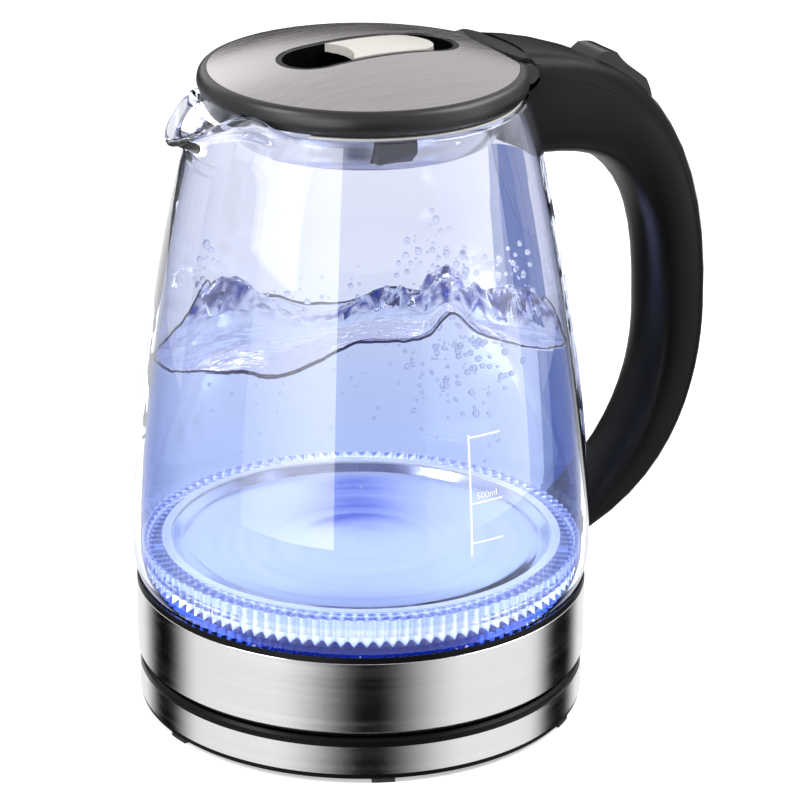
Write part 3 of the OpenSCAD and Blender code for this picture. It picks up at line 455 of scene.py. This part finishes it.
def clear(name, low, high, bright, deep, ior, edge=None, edge_power=5.0, coat=0.0,
          glow_high=None, glow_low=None, painted_flute_highlight=None, glow_strength=0.0, bump=0.0,
          scale=60.0, crest=None):
    """Glass, crystal or water whose colour holds painted light: the tint of the lamps below it,
    with painted shade at its edges and on a wave's crest, and painted highlight lines on a
    crystal's flutes. Low and high are the heights between which its colour goes from deep to
    bright."""
    material, tree, shader = new_material(name)
    # Painted light: the blue of the lamps below, painted into the base colour by height.
    tint = use_group(tree, painted_glow, Low=low, High=high, Bright=(*bright, 1), Deep=(*deep, 1))
    color = tint.outputs["Color"]
    # Painted shade: the colour turns to the edge colour where the surface is seen edge on.
    if edge:
        weight = tree.nodes.new("ShaderNodeLayerWeight")
        share = value_node(tree, "POWER", weight.outputs["Facing"], edge_power)
        color = blend_node(tree, share, color, edge)
    # Painted shade: dark blue on the broken crest and on the water's edge at the glass, from a mesh
    # attribute.
    if crest:
        dark = tree.nodes.new("ShaderNodeAttribute")
        dark.attribute_name = "crest"
        color = blend_node(tree, dark.outputs["Fac"], color, crest)
    wire(tree, (color, shader.inputs["Base Color"]))
    texture = use_group(tree, grain, Scale=scale, Patches=25.0)
    roughness_from(tree, shader, texture.outputs["Mottle"], 0.0, SMUDGE)
    if bump:
        bump_from(tree, shader, texture.outputs["Height"], bump, RIPPLE_DEPTH)
    shader.inputs["Transmission Weight"].default_value = 1
    shader.inputs["IOR"].default_value = ior
    shader.inputs["Coat Weight"].default_value = coat
    shader.inputs["Coat Roughness"].default_value = COAT_ROUGHNESS
    if glow_strength:
        lit = use_group(tree, painted_glow, Low=low, High=high, Bright=(*glow_high, 1), Deep=(*glow_low, 1))
        # Painted highlights: white lines on the flutes, added to the emission colour.
        line = use_group(tree, flutes)
        share = value_node(tree, "MULTIPLY", line.outputs["Line"],
                           value_node(tree, "SUBTRACT", 1.0, lit.outputs["Share"]))
        wire(tree, (blend_node(tree, share, lit.outputs["Color"], painted_flute_highlight),
                    shader.inputs["Emission Color"]))
        shader.inputs["Emission Strength"].default_value = glow_strength
    path, through, either = (tree.nodes.new(n) for n in (
        "ShaderNodeLightPath", "ShaderNodeBsdfTransparent", "ShaderNodeMixShader"))
    through.inputs[0].default_value = SHADOW_TINT
    end = tree.nodes["Material Output"]
    wire(tree,
         (path.outputs["Is Shadow Ray"], either.inputs[0]),
         (shader.outputs[0], either.inputs[1]),
         (through.outputs[0], either.inputs[2]),
         (either.outputs[0], end.inputs["Surface"]))
    return material


# Painted shade: the glass darkens to this lavender towards its silhouette edges.
PAINTED_EDGE_SHADE = (0.3, 0.36, 0.68)
finish["clear_glass"] = clear("clear_glass", 0.05, 0.21, (0.885, 0.9, 0.985), (0.76, 0.83, 1.0),
                              1.12, edge=PAINTED_EDGE_SHADE, edge_power=3.2, coat=1.0)
# The crystal's blue glow is the light of the lamps inside it; its white lines are painted
# highlights.
finish["crystal"] = clear("crystal", 0.0475, 0.0535, (0.97, 0.98, 1.0), (0.2, 0.36, 1.0), 1.5,
                          glow_high=(0.1, 0.15, 0.5), glow_low=(0.003, 0.02, 0.28),
                          painted_flute_highlight=(1.0, 1.0, 1.0), glow_strength=0.34)
finish["water"] = clear("water", 0.055, 0.165, (0.86, 0.89, 1.0), (0.66, 0.765, 1.0), 1.01)
finish["water_floor"] = clear("water_floor", 0.05, 0.1, (1, 1, 1), (1, 1, 1), 1.01)
# The water surface carries painted shade: dark blue on its broken crest.
finish["water_surface"] = clear("water_surface", 0.1, 0.18, (0.9, 0.92, 1.0), (0.76, 0.82, 1.0),
                                1.2, bump=1.0, scale=130.0, crest=(0.001, 0.006, 0.16))
# The bubbles' dark blue rims are painted shade.
finish["bubble"] = clear("bubble", 0.06, 0.2, (0.93, 0.95, 1.0), (0.85, 0.9, 1.0), 1.33,
                         edge=(0.02, 0.06, 0.36), edge_power=1.6, coat=0.6)
# The meniscus ring's dark blue is painted shade.
finish["meniscus_shade"] = clear("meniscus_shade", 0.1, 0.2, (0.004, 0.012, 0.1), (0.004, 0.012, 0.1), 1.1)
finish["print_white"] = moulded("print_white", (0.86, 0.86, 0.88), (0.94, 0.94, 0.96), (0.4, 0.5))
print("clear finishes made")

# %% The finish of each part of the frame
FINISH_OF = {
    "black_plastic": ["base_tray", "base_cover", "base_connector", "kettle_connector",
                      "support_ring", "bottom_shell", "handle_grip", "handle_cover", "cord_gland",
                      "thermostat", "steam_switch", "lid_recess", "latch_slider", "catch_guide"],
    "charcoal_plastic": ["lid_rim"],
    "gloss_black": ["switch_lever", "hinge_pin"],
    "rubber": ["base_feet"],
    "silicone": ["plate_seal", "lid_gasket"],
    "navy_plastic": ["catch_left", "catch_right"],
    "champagne_plastic": ["latch_tab"],
    "lid_steel": ["lid_plate"],
    "band_steel": ["base_trim", "body_band"],
    "plate_steel_blue_light": ["heating_plate"],
    "cup_steel": ["lid_cup"],
    "polished_steel": ["base_screws", "handle_screw", "switch_pin"],
    "aluminium": ["heat_spreader", "heating_element"],
    "brass": ["base_contacts", "live_pin", "ring_contact", "bimetal_discs"],
    "circuit_board": ["led_board"],
    "ceramic": ["leds"],
    "crystal": ["light_ring"],
    "clear_glass": ["glass_jug"],
}
for name, members in FINISH_OF.items():
    for member in members:
        nodes[member].data.materials.clear()
        nodes[member].data.materials.append(finish[name])
left_over = set(nodes) - {m for members in FINISH_OF.values() for m in members}
print("parts with no finish:", sorted(left_over))

# %% [markdown]
# ## The glass jug
# The real jug is blown into a mould, and its mouth is pressed to a thick round lip that is drawn
# out to a spout. It could be sculpted, but a spun wall keeps its thickness even. The outline of
# the wall goes up the outside, over the lip and down the inside, and is spun round the axis.
# Then the points near the spout move outwards, more so the closer they are to its middle line.

# %% Outline of the wall
WALL = 2.6
ZONE_Z = 198.0
FLANK = ((57, 222), (69.5, 177), (80.2, 112), (81.1, 60))
HEEL = ((81.1, 60), (81.1, 54), (80.3, 48.6), (77.3, 45.3))


def flank_share(z):
    low, high = 0.0, 1.0
    for _ in range(30):
        middle = (low + high) / 2
        low, high = (middle, high) if bezier(FLANK, middle)[1] > z else (low, middle)
    return low


zone_share = flank_share(ZONE_Z)
zone_r = bezier(FLANK, zone_share)[0]
MOUTH_OUT = ((zone_r, ZONE_Z), (60.9, 206), (58.9, 213.5), (56.7, 221))
SPOUT_OUT = ((zone_r, ZONE_Z), (60.4, 208), (64.5, 212.5), (74, 214.5))
SPOUT_IN = ((zone_r - WALL, ZONE_Z), (58, 210), (61, 215), (72.4, 216.5))
LIP_POINTS = 5
ZONE_STEPS = 14
side_out = [bezier(FLANK, mix(zone_share, 1, i / 34)) for i in range(1, 35)]
heel_out = [bezier(HEEL, i / 8) for i in range(1, 9)]
low_side = side_out + heel_out
print("the wall has", len(low_side), "levels below the spout")


# %% Wall above the spout zone
def spout_part(angle):
    """How much of the spout's section is in the wall, at an angle from its middle line."""
    half = 36.0
    return 0.0 if abs(angle) >= half else (1 + math.cos(math.pi * angle / half)) / 2


def mouth_in(share):
    thin = smooth_step(share / 0.12)
    return ((zone_r - WALL, ZONE_Z), (58, 207), (mix(55.2, 56, thin), 215.5),
            (mix(51.8, 54.9, thin), 220.7))


def lip_lift(angle):
    """The shoulders of the spout stand a little higher on the near side."""
    return 6.4 if angle > 0 else 5.2


def wall_at(angle):
    """Outside, lip and inside of the wall at an angle from the spout's middle line."""
    share = spout_part(angle)
    lift = lip_lift(angle) * 4 * share * (1 - share)

    def along(plain, spout):
        points = []
        for i in range(ZONE_STEPS + 1):
            u = i / ZONE_STEPS
            a, b = bezier(plain, u), bezier(spout, u)
            w = share ** 2.1
            points.append((mix(a[0], b[0], w), mix(a[1], b[1], w) + lift * u ** 3))
        return points

    outside, inside = along(MOUTH_OUT, SPOUT_OUT), along(mouth_in(share), SPOUT_IN)
    a, b = Vector(outside[-1]), Vector(inside[-1])
    middle, half = (a + b) / 2, (a - b) / 2
    rise = Vector((-half.y, half.x)).normalized() * min(half.length, 1.1)
    lip = []
    for i in range(1, LIP_POINTS + 1):
        turn = math.pi * i / (LIP_POINTS + 1)
        lip.append(tuple(middle + half * math.cos(turn) + rise * math.sin(turn)))
    return outside + lip + inside[::-1]


start_wall = wall_at(180)
jug_outline = ([p for p in reversed(low_side)] + start_wall
               + [(r - WALL, z) for r, z in low_side])
jug = turned(jug_outline, 240, closed=True)
print("the spun jug has", len(jug.faces), "faces")

# %% Draw out the spout
level_of = {(round(r, 3), round(z, 3)): i for i, (r, z) in enumerate(start_wall)}
moved = 0
for vert in jug.verts:
    radius = math.hypot(vert.co.x, vert.co.y)
    level = level_of.get((round(radius, 3), round(vert.co.z, 3)))
    turn = math.degrees(math.atan2(vert.co.y, vert.co.x))
    from_middle = (turn + 360) % 360 - 180
    if level is None or spout_part(from_middle) == 0:
        continue
    r, z = wall_at(from_middle)[level]
    vert.co = polar(r, turn, z)
    moved += 1
print("moved", moved, "points to shape the spout")
glass = piece("jug_glass", jug, finish["clear_glass"], "kettle")
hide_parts("glass_jug")

# %% [markdown]
# ## The printed scale
# A scale is printed on the outside of the glass, close to the handle. A print has almost no
# thickness, so a texture would do, but thin raised pieces survive an export and catch the light
# as enamel does. Each bar starts as a flat grid and is then wrapped round the glass, and the one
# amount on it is a text curve made into a mesh and wrapped in the same way.

# %% Scale
SCALE_TURN = -91.6
SCALE_MARKS = (123.0, 100.0, 86.0)
PRINT_PROUD = 0.06


def glass_radius(z):
    return bezier(FLANK, flank_share(z))[0]


def wrap(bm):
    """Bends a flat shape, x round the jug and y up it, on to the glass."""
    for vert in bm.verts:
        x, z, proud = vert.co
        radius = glass_radius(z) + PRINT_PROUD + proud
        vert.co = polar(radius, SCALE_TURN + math.degrees(x / radius), z)


def bar(bm, x0, x1, z0, z1, columns, rows):
    made = bmesh.ops.create_grid(bm, x_segments=columns, y_segments=rows, size=0.5)["verts"]
    bmesh.ops.scale(bm, vec=(x1 - x0, z1 - z0, 1), verts=made)
    bmesh.ops.translate(bm, vec=((x0 + x1) / 2, (z0 + z1) / 2, 0), verts=made)


bm = bmesh.new()
bar(bm, -0.4, 0.4, 81.3, 124.0, 1, 24)
for z in SCALE_MARKS:
    bar(bm, 0.5, 12.6, z - 0.32, z + 0.32, 12, 1)
wrap(bm)
bmesh.ops.recalc_face_normals(bm, faces=bm.faces)
piece("scale_print", bm, finish["print_white"], "kettle")

# %% The amount on the scale
letters = bpy.data.curves.new("amount", "FONT")
letters.body = "500ml"
letters.size = 3.4
letters.resolution_u = 3
flat = bpy.data.objects.new("amount", letters)
bpy.context.scene.collection.objects.link(flat)
bm = bmesh.new()
bm.from_mesh(flat.to_mesh())
bpy.data.objects.remove(flat)
bmesh.ops.translate(bm, vec=(2.2, SCALE_MARKS[1] + 1.2, 0), verts=bm.verts)
bmesh.ops.triangulate(bm, faces=bm.faces)
wrap(bm)
piece("scale_amount", bm, finish["print_white"], "kettle", rounded=False)

# %% [markdown]
# ## Water
# Boiling water is a body with a rough sea on top. A fluid simulation would make one, but a
# height for every point of a spun disc is quick, always comes out the same, and can be shaped.
# The surface stands high at the front, falls away to the back and breaks into a ragged crest.
# The sides bend light very little, so that the plate shows clearly below; the surface bends it
# more and holds the dark blue edge of the meniscus. That dark blue, and the dark of the ragged
# crest, are painted shade.

# %% Height of the water
WATER_R = 78.3
REACH = 78
BACK_LEVEL, FRONT_LEVEL = 121, 134
CREST_PLACE, CREST_WIDTH = -38, 15
NEAR_WALL = 75
CREST_HUMPS = ((15, 34, 17), (7, 4, 16), (12, 62, 14), (12, -58, 16))
RIGHT = Vector((SIDEWAYS.x, SIDEWAYS.y))
TOWARDS = Vector((VIEW_FROM.x, VIEW_FROM.y)).normalized()


def hump(x, middle, width):
    return math.exp(-((x - middle) / width) ** 2)


def ridges(x, y, seed, size):
    """Ragged noise from 0 to 1, with sharp tops."""
    here = Vector((x / size, y / size, seed))
    return 1 - abs(noise.fractal(here, 1.5, 2.0, 2)) * 1.9


def water_level(x, y):
    """Height of the surface, and how much painted shade darkens it there, where it is broken.
    Here u goes to the right and w towards the camera."""
    u, w = RIGHT.dot((x, y)), TOWARDS.dot((x, y))
    front = (FRONT_LEVEL + 9 * smooth_step((u + REACH) / 38) + 14.5 * smooth_step((u + 33) / 36)
             + 7.5 * hump(u, 34, 6.5) - 13 * smooth_step((u - 36) / 40))
    back = BACK_LEVEL + 5 * hump(u, -55, 24) + 4 * hump(u, 34, 30) + 2 * math.sin(u / 9)
    share = smooth_step((w + REACH) / (2 * REACH))
    level = mix(back, front, share)
    swell = noise.noise(Vector((u / 17, w / 13, 3))) * 2.2 * (1 - share * 0.7)
    ragged = max(0.0, ridges(u, w, 7, 15))
    band = hump(w, CREST_PLACE + 0.2 * u, CREST_WIDTH)
    crown = band * (sum(tall * hump(u, middle, width) for tall, middle, width in CREST_HUMPS) + 3)
    chop = crown * smooth_step((ragged - 0.1) / 0.8) * 0.9
    fine = noise.fractal(Vector((u / 5, w / 4, 9)), 0.8, 2, 3) * (0.35 + 0.9 * band)
    broken = smooth_step(0.62 + 1.5 * noise.noise(Vector((u / 3.4, w / 3.4, 5))))
    # Painted shade: how much the broken crest is darkened.
    dark = min(1.0, max(0.0, (chop - 0.5) / 3.2)) * broken
    return level + swell + chop + fine, dark


print("water at the front", round(water_level(*(TOWARDS * NEAR_WALL))[0], 1))

# %% Body of the water
SURFACE_RINGS = 84
SIDE_LEVELS = 40
WATER_STEPS = 220
WATER_FLOOR = 57.2
GAP = 0.4
# The water's edge, where it climbs the glass, gets the full painted shade.
CLIMB, CLIMB_SHADE = 0.8, 0.9
CLIMB_SIDE = 1.5
FLOOR_CORNER_Z, FLOOR_CORNER_R = 61, 78.0
# Before they are shaped, the surface, the side and the floor are told apart by their heights.
WAVE_MARK, SIDE_MARK, FLOOR_MARK = 500.0, 400.0, 300.0
wave_line = [(WATER_R * i / SURFACE_RINGS, WAVE_MARK) for i in range(SURFACE_RINGS + 1)]
side_line = [(WATER_R, SIDE_MARK - i) for i in range(1, SIDE_LEVELS + 1)]
floor_line = [(60.0, FLOOR_MARK), (0.0, FLOOR_MARK)]


def water_wall(z):
    return glass_radius(z) - WALL - GAP


bm = turned(wave_line + side_line + floor_line, WATER_STEPS)
crest = bm.verts.layers.float.new("crest")
for vert in bm.verts:
    x, y, z = vert.co
    radius = math.hypot(x, y)
    if z > (WAVE_MARK + SIDE_MARK) / 2:
        top, dark = water_level(x, y)
        wall = water_wall(top)
        if radius > WATER_R - 0.01:
            top += CLIMB
            dark = CLIMB_SHADE
        vert.co = Vector((x, y, 0)) * (wall / WATER_R) + Vector((0, 0, top))
        vert[crest] = dark
    elif z > (SIDE_MARK + FLOOR_MARK) / 2:
        top = water_level(*(Vector((x, y)).normalized() * NEAR_WALL))[0] + CLIMB - CLIMB_SIDE
        height = mix(top, WATER_FLOOR, (SIDE_MARK - z - 1) / (SIDE_LEVELS - 1))
        wall = water_wall(max(60.0, height))
        if height < FLOOR_CORNER_Z:
            wall = min(wall, FLOOR_CORNER_R)
        vert.co = Vector((x, y, 0)) * (wall / radius) + Vector((0, 0, height))
        vert[crest] = 0.0
    else:
        vert.co.z = WATER_FLOOR
bmesh.ops.recalc_face_normals(bm, faces=bm.faces)
for face in bm.faces:
    on_top = abs(face.normal.z) > 0.2 and face.calc_center_median().z > 100
    if all(v.co.z < WATER_FLOOR + 0.01 for v in face.verts):
        face.material_index = 2
    elif on_top or any(v[crest] >= CLIMB_SHADE - 0.01 for v in face.verts):
        face.material_index = 1
piece("water", bm, [finish[name] for name in ("water", "water_surface", "water_floor")],
      "kettle")

# %% The meniscus: a thin ring of painted shade, dark blue, where the water climbs the glass
LINE_R = 0.42
bm = bmesh.new()
ring_verts = bmesh.ops.create_circle(bm, segments=8, radius=LINE_R)["verts"]
bmesh.ops.rotate(bm, verts=ring_verts, matrix=Matrix.Rotation(math.pi / 2, 3, "X"))
bmesh.ops.translate(bm, verts=ring_verts, vec=(WATER_R, 0, 0))
bmesh.ops.spin(bm, geom=bm.verts[:] + bm.edges[:], cent=(0, 0, 0), axis=(0, 0, 1), dvec=(0, 0, 0),
               angle=2 * math.pi, steps=360, use_merge=True, use_duplicate=False)
bmesh.ops.remove_doubles(bm, verts=bm.verts, dist=DOUBLES)
bmesh.ops.recalc_face_normals(bm, faces=bm.faces)
for vert in bm.verts:
    x, y, z = vert.co
    radius = math.hypot(x, y)
    way = Vector((x, y)) / radius
    u = RIGHT.dot(way * NEAR_WALL)
    level = water_level(*(way * NEAR_WALL))[0]
    near = smooth_step((TOWARDS.dot(way) + 0.1) / 0.4)
    thick = near * (0.75 + 1.0 * hump(u, -22, 22) + 0.35 * hump(u, 30, 10)) + 0.06
    wall = glass_radius(level) - WALL - 0.75
    new_r = wall + (radius - WATER_R)
    vert.co = Vector((way.x * new_r, way.y * new_r, level + z * thick))
piece("meniscus_shade", bm, finish["meniscus_shade"], "kettle")

# %% [markdown]
# ## Drops and bubbles
# Drops fly off the crest and bubbles rise to the hump at the front right. Each is a small round
# bead, and a few dozen faces are enough for one that is a few pixels wide. Their places come
# from a seeded generator, so they are the same every time.

# %% Drops and bubbles
chance = random.Random(11)
BEAD_ROOM = 2.5
DROP_CLOUDS = (
    (30, 149, 9, 6, 50), (24, 158, 4, 4, 14), (-56, 147, 10, 4, 20), (58, 146, 8, 5, 26),
    (8, 138, 18, 4, 36), (-30, 132, 10, 3, 12))
BUBBLE_CLOUDS = (
    (33, 148, 6, 6, 42, 1.25), (38, 134, 8, 8, 46, 1.3), (22, 136, 8, 8, 26, 1.1),
    (8, 128, 20, 12, 26, 0.8), (-34, 122, 16, 12, 14, 0.7), (40, 118, 8, 6, 16, 0.9))
BUBBLE_REACH = 68


def bead(bm, u, w, z, radius, squash=1.0):
    reach, room = math.hypot(u, w), glass_radius(z) - WALL - BEAD_ROOM
    spot = (RIGHT * u + TOWARDS * w) * min(1.0, room / reach)
    move = Matrix.Translation((spot.x, spot.y, z)) @ Matrix.Diagonal((1, 1, squash, 1))
    bmesh.ops.create_icosphere(bm, subdivisions=2, radius=radius, matrix=move)


drops = bmesh.new()
for middle_u, middle_z, spread_u, spread_z, count in DROP_CLOUDS:
    for _ in range(count):
        bead(drops, chance.gauss(middle_u, spread_u), CREST_PLACE + chance.uniform(-6, 6),
             chance.gauss(middle_z, spread_z), 0.35 + 1.1 * chance.random() ** 2,
             chance.uniform(0.8, 1.3))
piece("drops", drops, finish["bubble"], "kettle")

bubbles = bmesh.new()
for middle_u, middle_z, spread_u, spread_z, count, size in BUBBLE_CLOUDS:
    for _ in range(count):
        u, z = chance.gauss(middle_u, spread_u), chance.gauss(middle_z, spread_z)
        w = chance.uniform(30, 48)
        if u * u + w * w > BUBBLE_REACH ** 2:
            w = math.sqrt(max(1.0, BUBBLE_REACH ** 2 - u * u))
        spot = RIGHT * u + TOWARDS * w
        z = min(z, water_level(spot.x, spot.y)[0] - 2)
        bead(bubbles, u, w, z, chance.uniform(0.35, size), chance.uniform(0.85, 1.15))
piece("bubbles", bubbles, finish["bubble"], "kettle")

# %% [markdown]
# ## The studio
# A kettle on white is mostly reflections: steel has no colour of its own, it shows the room.
# The room here is white, with black cards that stand where the steel should turn dark, bright
# windows where it should shine, and soft lamps to the left and to the right. The floor catches
# the shadow but does not show in the steel or through the glass, so that the steel bands see
# the cards all the way down. Two tinted flags behind give the glass its dark right edge.

# %% World
world = bpy.data.worlds.new("studio")
bpy.context.scene.world = world
world.use_nodes = True
tree = world.node_tree
path = tree.nodes.new("ShaderNodeLightPath")
shown = value_node(tree, "MAXIMUM", path.outputs["Is Camera Ray"],
                   value_node(tree, "MAXIMUM", path.outputs["Is Glossy Ray"],
                              path.outputs["Is Transmission Ray"]))
AMBIENT = 0.55
room = value_node(tree, "MULTIPLY_ADD", shown, 1.0 - AMBIENT, AMBIENT)
tree.nodes["Background"].inputs["Color"].default_value = (1, 1, 1, 1)
wire(tree, (room, tree.nodes["Background"].inputs["Strength"]))
print("world: white where it is seen,", AMBIENT, "where it only lights")


# %% Stage helpers
def stage_piece(name, bm, material):
    mesh = bpy.data.meshes.new(name)
    bm.to_mesh(mesh)
    bm.free()
    mesh.materials.append(material)
    obj = bpy.data.objects.new(name, mesh)
    bpy.context.scene.collection.objects.link(obj)
    return obj


def card(name, middle, core, soft, low, high, tint=(0, 0, 0), distance=2.0, level=1.0,
         through=False, shiny=True, one_sided=False):
    """A curved card that only reflections see, or that only shows through clear things. Its
    core has the tint, and its soft edges are as bright as the level. Its angles go right from
    the camera."""
    material, tree, shader = new_material(name)
    shader.inputs["Base Color"].default_value = (0, 0, 0, 1)
    shader.inputs["Specular IOR Level"].default_value = 0
    shader.inputs["Emission Strength"].default_value = 1
    place, apart = tree.nodes.new("ShaderNodeTexCoord"), tree.nodes.new("ShaderNodeSeparateXYZ")
    fade = tree.nodes.new("ShaderNodeMapRange")
    fade.interpolation_type = "SMOOTHSTEP"
    fade.inputs["From Min"].default_value = math.radians(core)
    fade.inputs["From Max"].default_value = math.radians(core + soft)
    wire(tree, (place.outputs["Object"], apart.inputs[0]))
    turn = value_node(tree, "ARCTAN2", apart.outputs[1], apart.outputs[0])
    heading = math.radians((camera_side + middle + 180) % 360 - 180)
    off = value_node(tree, "ABSOLUTE", value_node(tree, "SUBTRACT", turn, heading))
    wire(tree, (off, fade.inputs["Value"]),
         (blend_node(tree, fade.outputs["Result"], tint, (level,) * 3),
          shader.inputs["Emission Color"]))
    span = core + soft
    bm = bmesh.new()
    start = [bm.verts.new(polar(distance, camera_side + middle - span, z)) for z in (low, high)]
    edge = bm.edges.new(start)
    bmesh.ops.spin(bm, geom=start + [edge], cent=(0, 0, 0), axis=(0, 0, 1), dvec=(0, 0, 0),
                   angle=math.radians(span if one_sided else 2 * span), steps=24,
                   use_duplicate=False)
    obj = stage_piece(name, bm, material)
    obj.visible_camera = obj.visible_diffuse = obj.visible_shadow = False
    obj.visible_transmission, obj.visible_glossy = through, shiny
    obj.visible_volume_scatter = False
    return obj


AIM = Vector((0, 0, 0.12))


def lamp(name, azimuth, distance, height, width, tall, power):
    data = bpy.data.lights.new(name, "AREA")
    data.shape = "RECTANGLE"
    data.size, data.size_y, data.energy = width, tall, power
    obj = bpy.data.objects.new(name, data)
    obj.location = polar(distance, camera_side + azimuth, height)
    obj.rotation_euler = (AIM - obj.location).to_track_quat("-Z", "Y").to_euler()
    bpy.context.scene.collection.objects.link(obj)
    return obj


# %% Floor
FLOOR_HALF, FLOOR_Z = 4, -0.0002
FLOOR_GLOW = 0.45
bm = bmesh.new()
bmesh.ops.create_grid(bm, x_segments=4, y_segments=4, size=FLOOR_HALF)
bmesh.ops.translate(bm, vec=(0, 0, FLOOR_Z), verts=bm.verts)
floor_finish, tree, shader = new_material("floor")
shader.inputs["Base Color"].default_value = (0.85, 0.85, 0.85, 1)
shader.inputs["Roughness"].default_value = 0.9
shader.inputs["Specular IOR Level"].default_value = 0
path = tree.nodes.new("ShaderNodeLightPath")
shown = value_node(tree, "MAXIMUM", path.outputs["Is Camera Ray"],
                   path.outputs["Is Transmission Ray"])
shader.inputs["Emission Color"].default_value = (1, 1, 1, 1)
wire(tree, (value_node(tree, "MULTIPLY", shown, FLOOR_GLOW), shader.inputs["Emission Strength"]))
floor = stage_piece("floor", bm, floor_finish)
floor.visible_glossy = floor.visible_transmission = False
print("floor:", 2 * FLOOR_HALF, "metres wide")

# %% Cards and windows
cards = [
    card("card_front", 5, 4, 46, -1.7, 0.3),
    card("card_right", 123, 8, 20, -1.7, 0.3),
    card("card_left", -119, 6, 24, -1.7, 0.3),
    card("card_back", 179.7, 0.4, 2.2, 1.08, 1.9, tint=(0.0, 0.08, 0.85), level=1.7, through=True,
         shiny=False),
    card("card_back_bright", 180, 45, 30, 0.45, 1.7, tint=(1.7, 1.68, 1.7), distance=2.05,
         through=True, shiny=False),
    card("card_back_low", 180, 28, 46, -0.3, 0.58),
    card("card_cup", -6, 9, 9, -4.0, -1.9, tint=(0.01, 0.02, 0.12), distance=1.95, through=True,
         shiny=False),
    card("window_handle", 119, 8, 18, 1.25, 2.5, tint=(7.0, 7.0, 7.2)),
    card("window_lid", -152, 4, 24, 0.5, 1.4, tint=(2.4, 2.4, 2.4)),
    card("window_front_right", 92, 0, 60, -0.42, 1.1, tint=(3.5, 3.5, 3.6), distance=1.9,
         one_sided=True),
    card("window_left", -13, 0, 70, -0.42, 1.1, tint=(6, 6, 6.2), distance=1.9,
         one_sided=True),
    card("window_right", 165, 0, 14, -0.5, 0.1, tint=(3, 3, 3.1), distance=1.9, level=3.0,
         one_sided=True),
]
print("made", len(cards), "cards and windows")

# %% Flags behind the glass
FLAG_DEPTH = 2.0


def flag(name, corners, color):
    """A flat flag far behind the glass, that only shows through it. Its corners are how far
    it reaches to the right of the axis, and its heights."""
    material, tree, shader = new_material(name)
    shader.inputs["Base Color"].default_value = (0, 0, 0, 1)
    shader.inputs["Specular IOR Level"].default_value = 0
    shader.inputs["Emission Color"].default_value = (*color, 1)
    shader.inputs["Emission Strength"].default_value = 1
    bm = bmesh.new()
    away = Vector((-TOWARDS.x, -TOWARDS.y, 0)) * FLAG_DEPTH
    bm.faces.new([bm.verts.new(away + SIDEWAYS * right + Vector((0, 0, z)))
                  for right, z in corners])
    obj = stage_piece(name, bm, material)
    obj.visible_camera = obj.visible_diffuse = obj.visible_shadow = obj.visible_glossy = False
    return obj


flag("edge_flag_pale", ((0.138, -0.36), (0.156, -0.36), (0.172, -0.84), (0.158, -0.84)),
     (0.36, 0.42, 0.58))
flag("edge_flag_dark", ((0.156, -0.36), (0.26, -0.36), (0.30, -0.84), (0.172, -0.84)),
     (0.06, 0.13, 0.4))
print("made 2 flags")

# %% Lamps
lamp("softbox_left", -68, 1.3, 1.35, 0.6, 0.8, 17)
lamp("softbox_right", 86, 1.1, 1.3, 0.6, 0.9, 20)
lamp("softbox_front", -52, 1.5, 0.75, 0.9, 1.2, 7)
print("made 3 lamps")
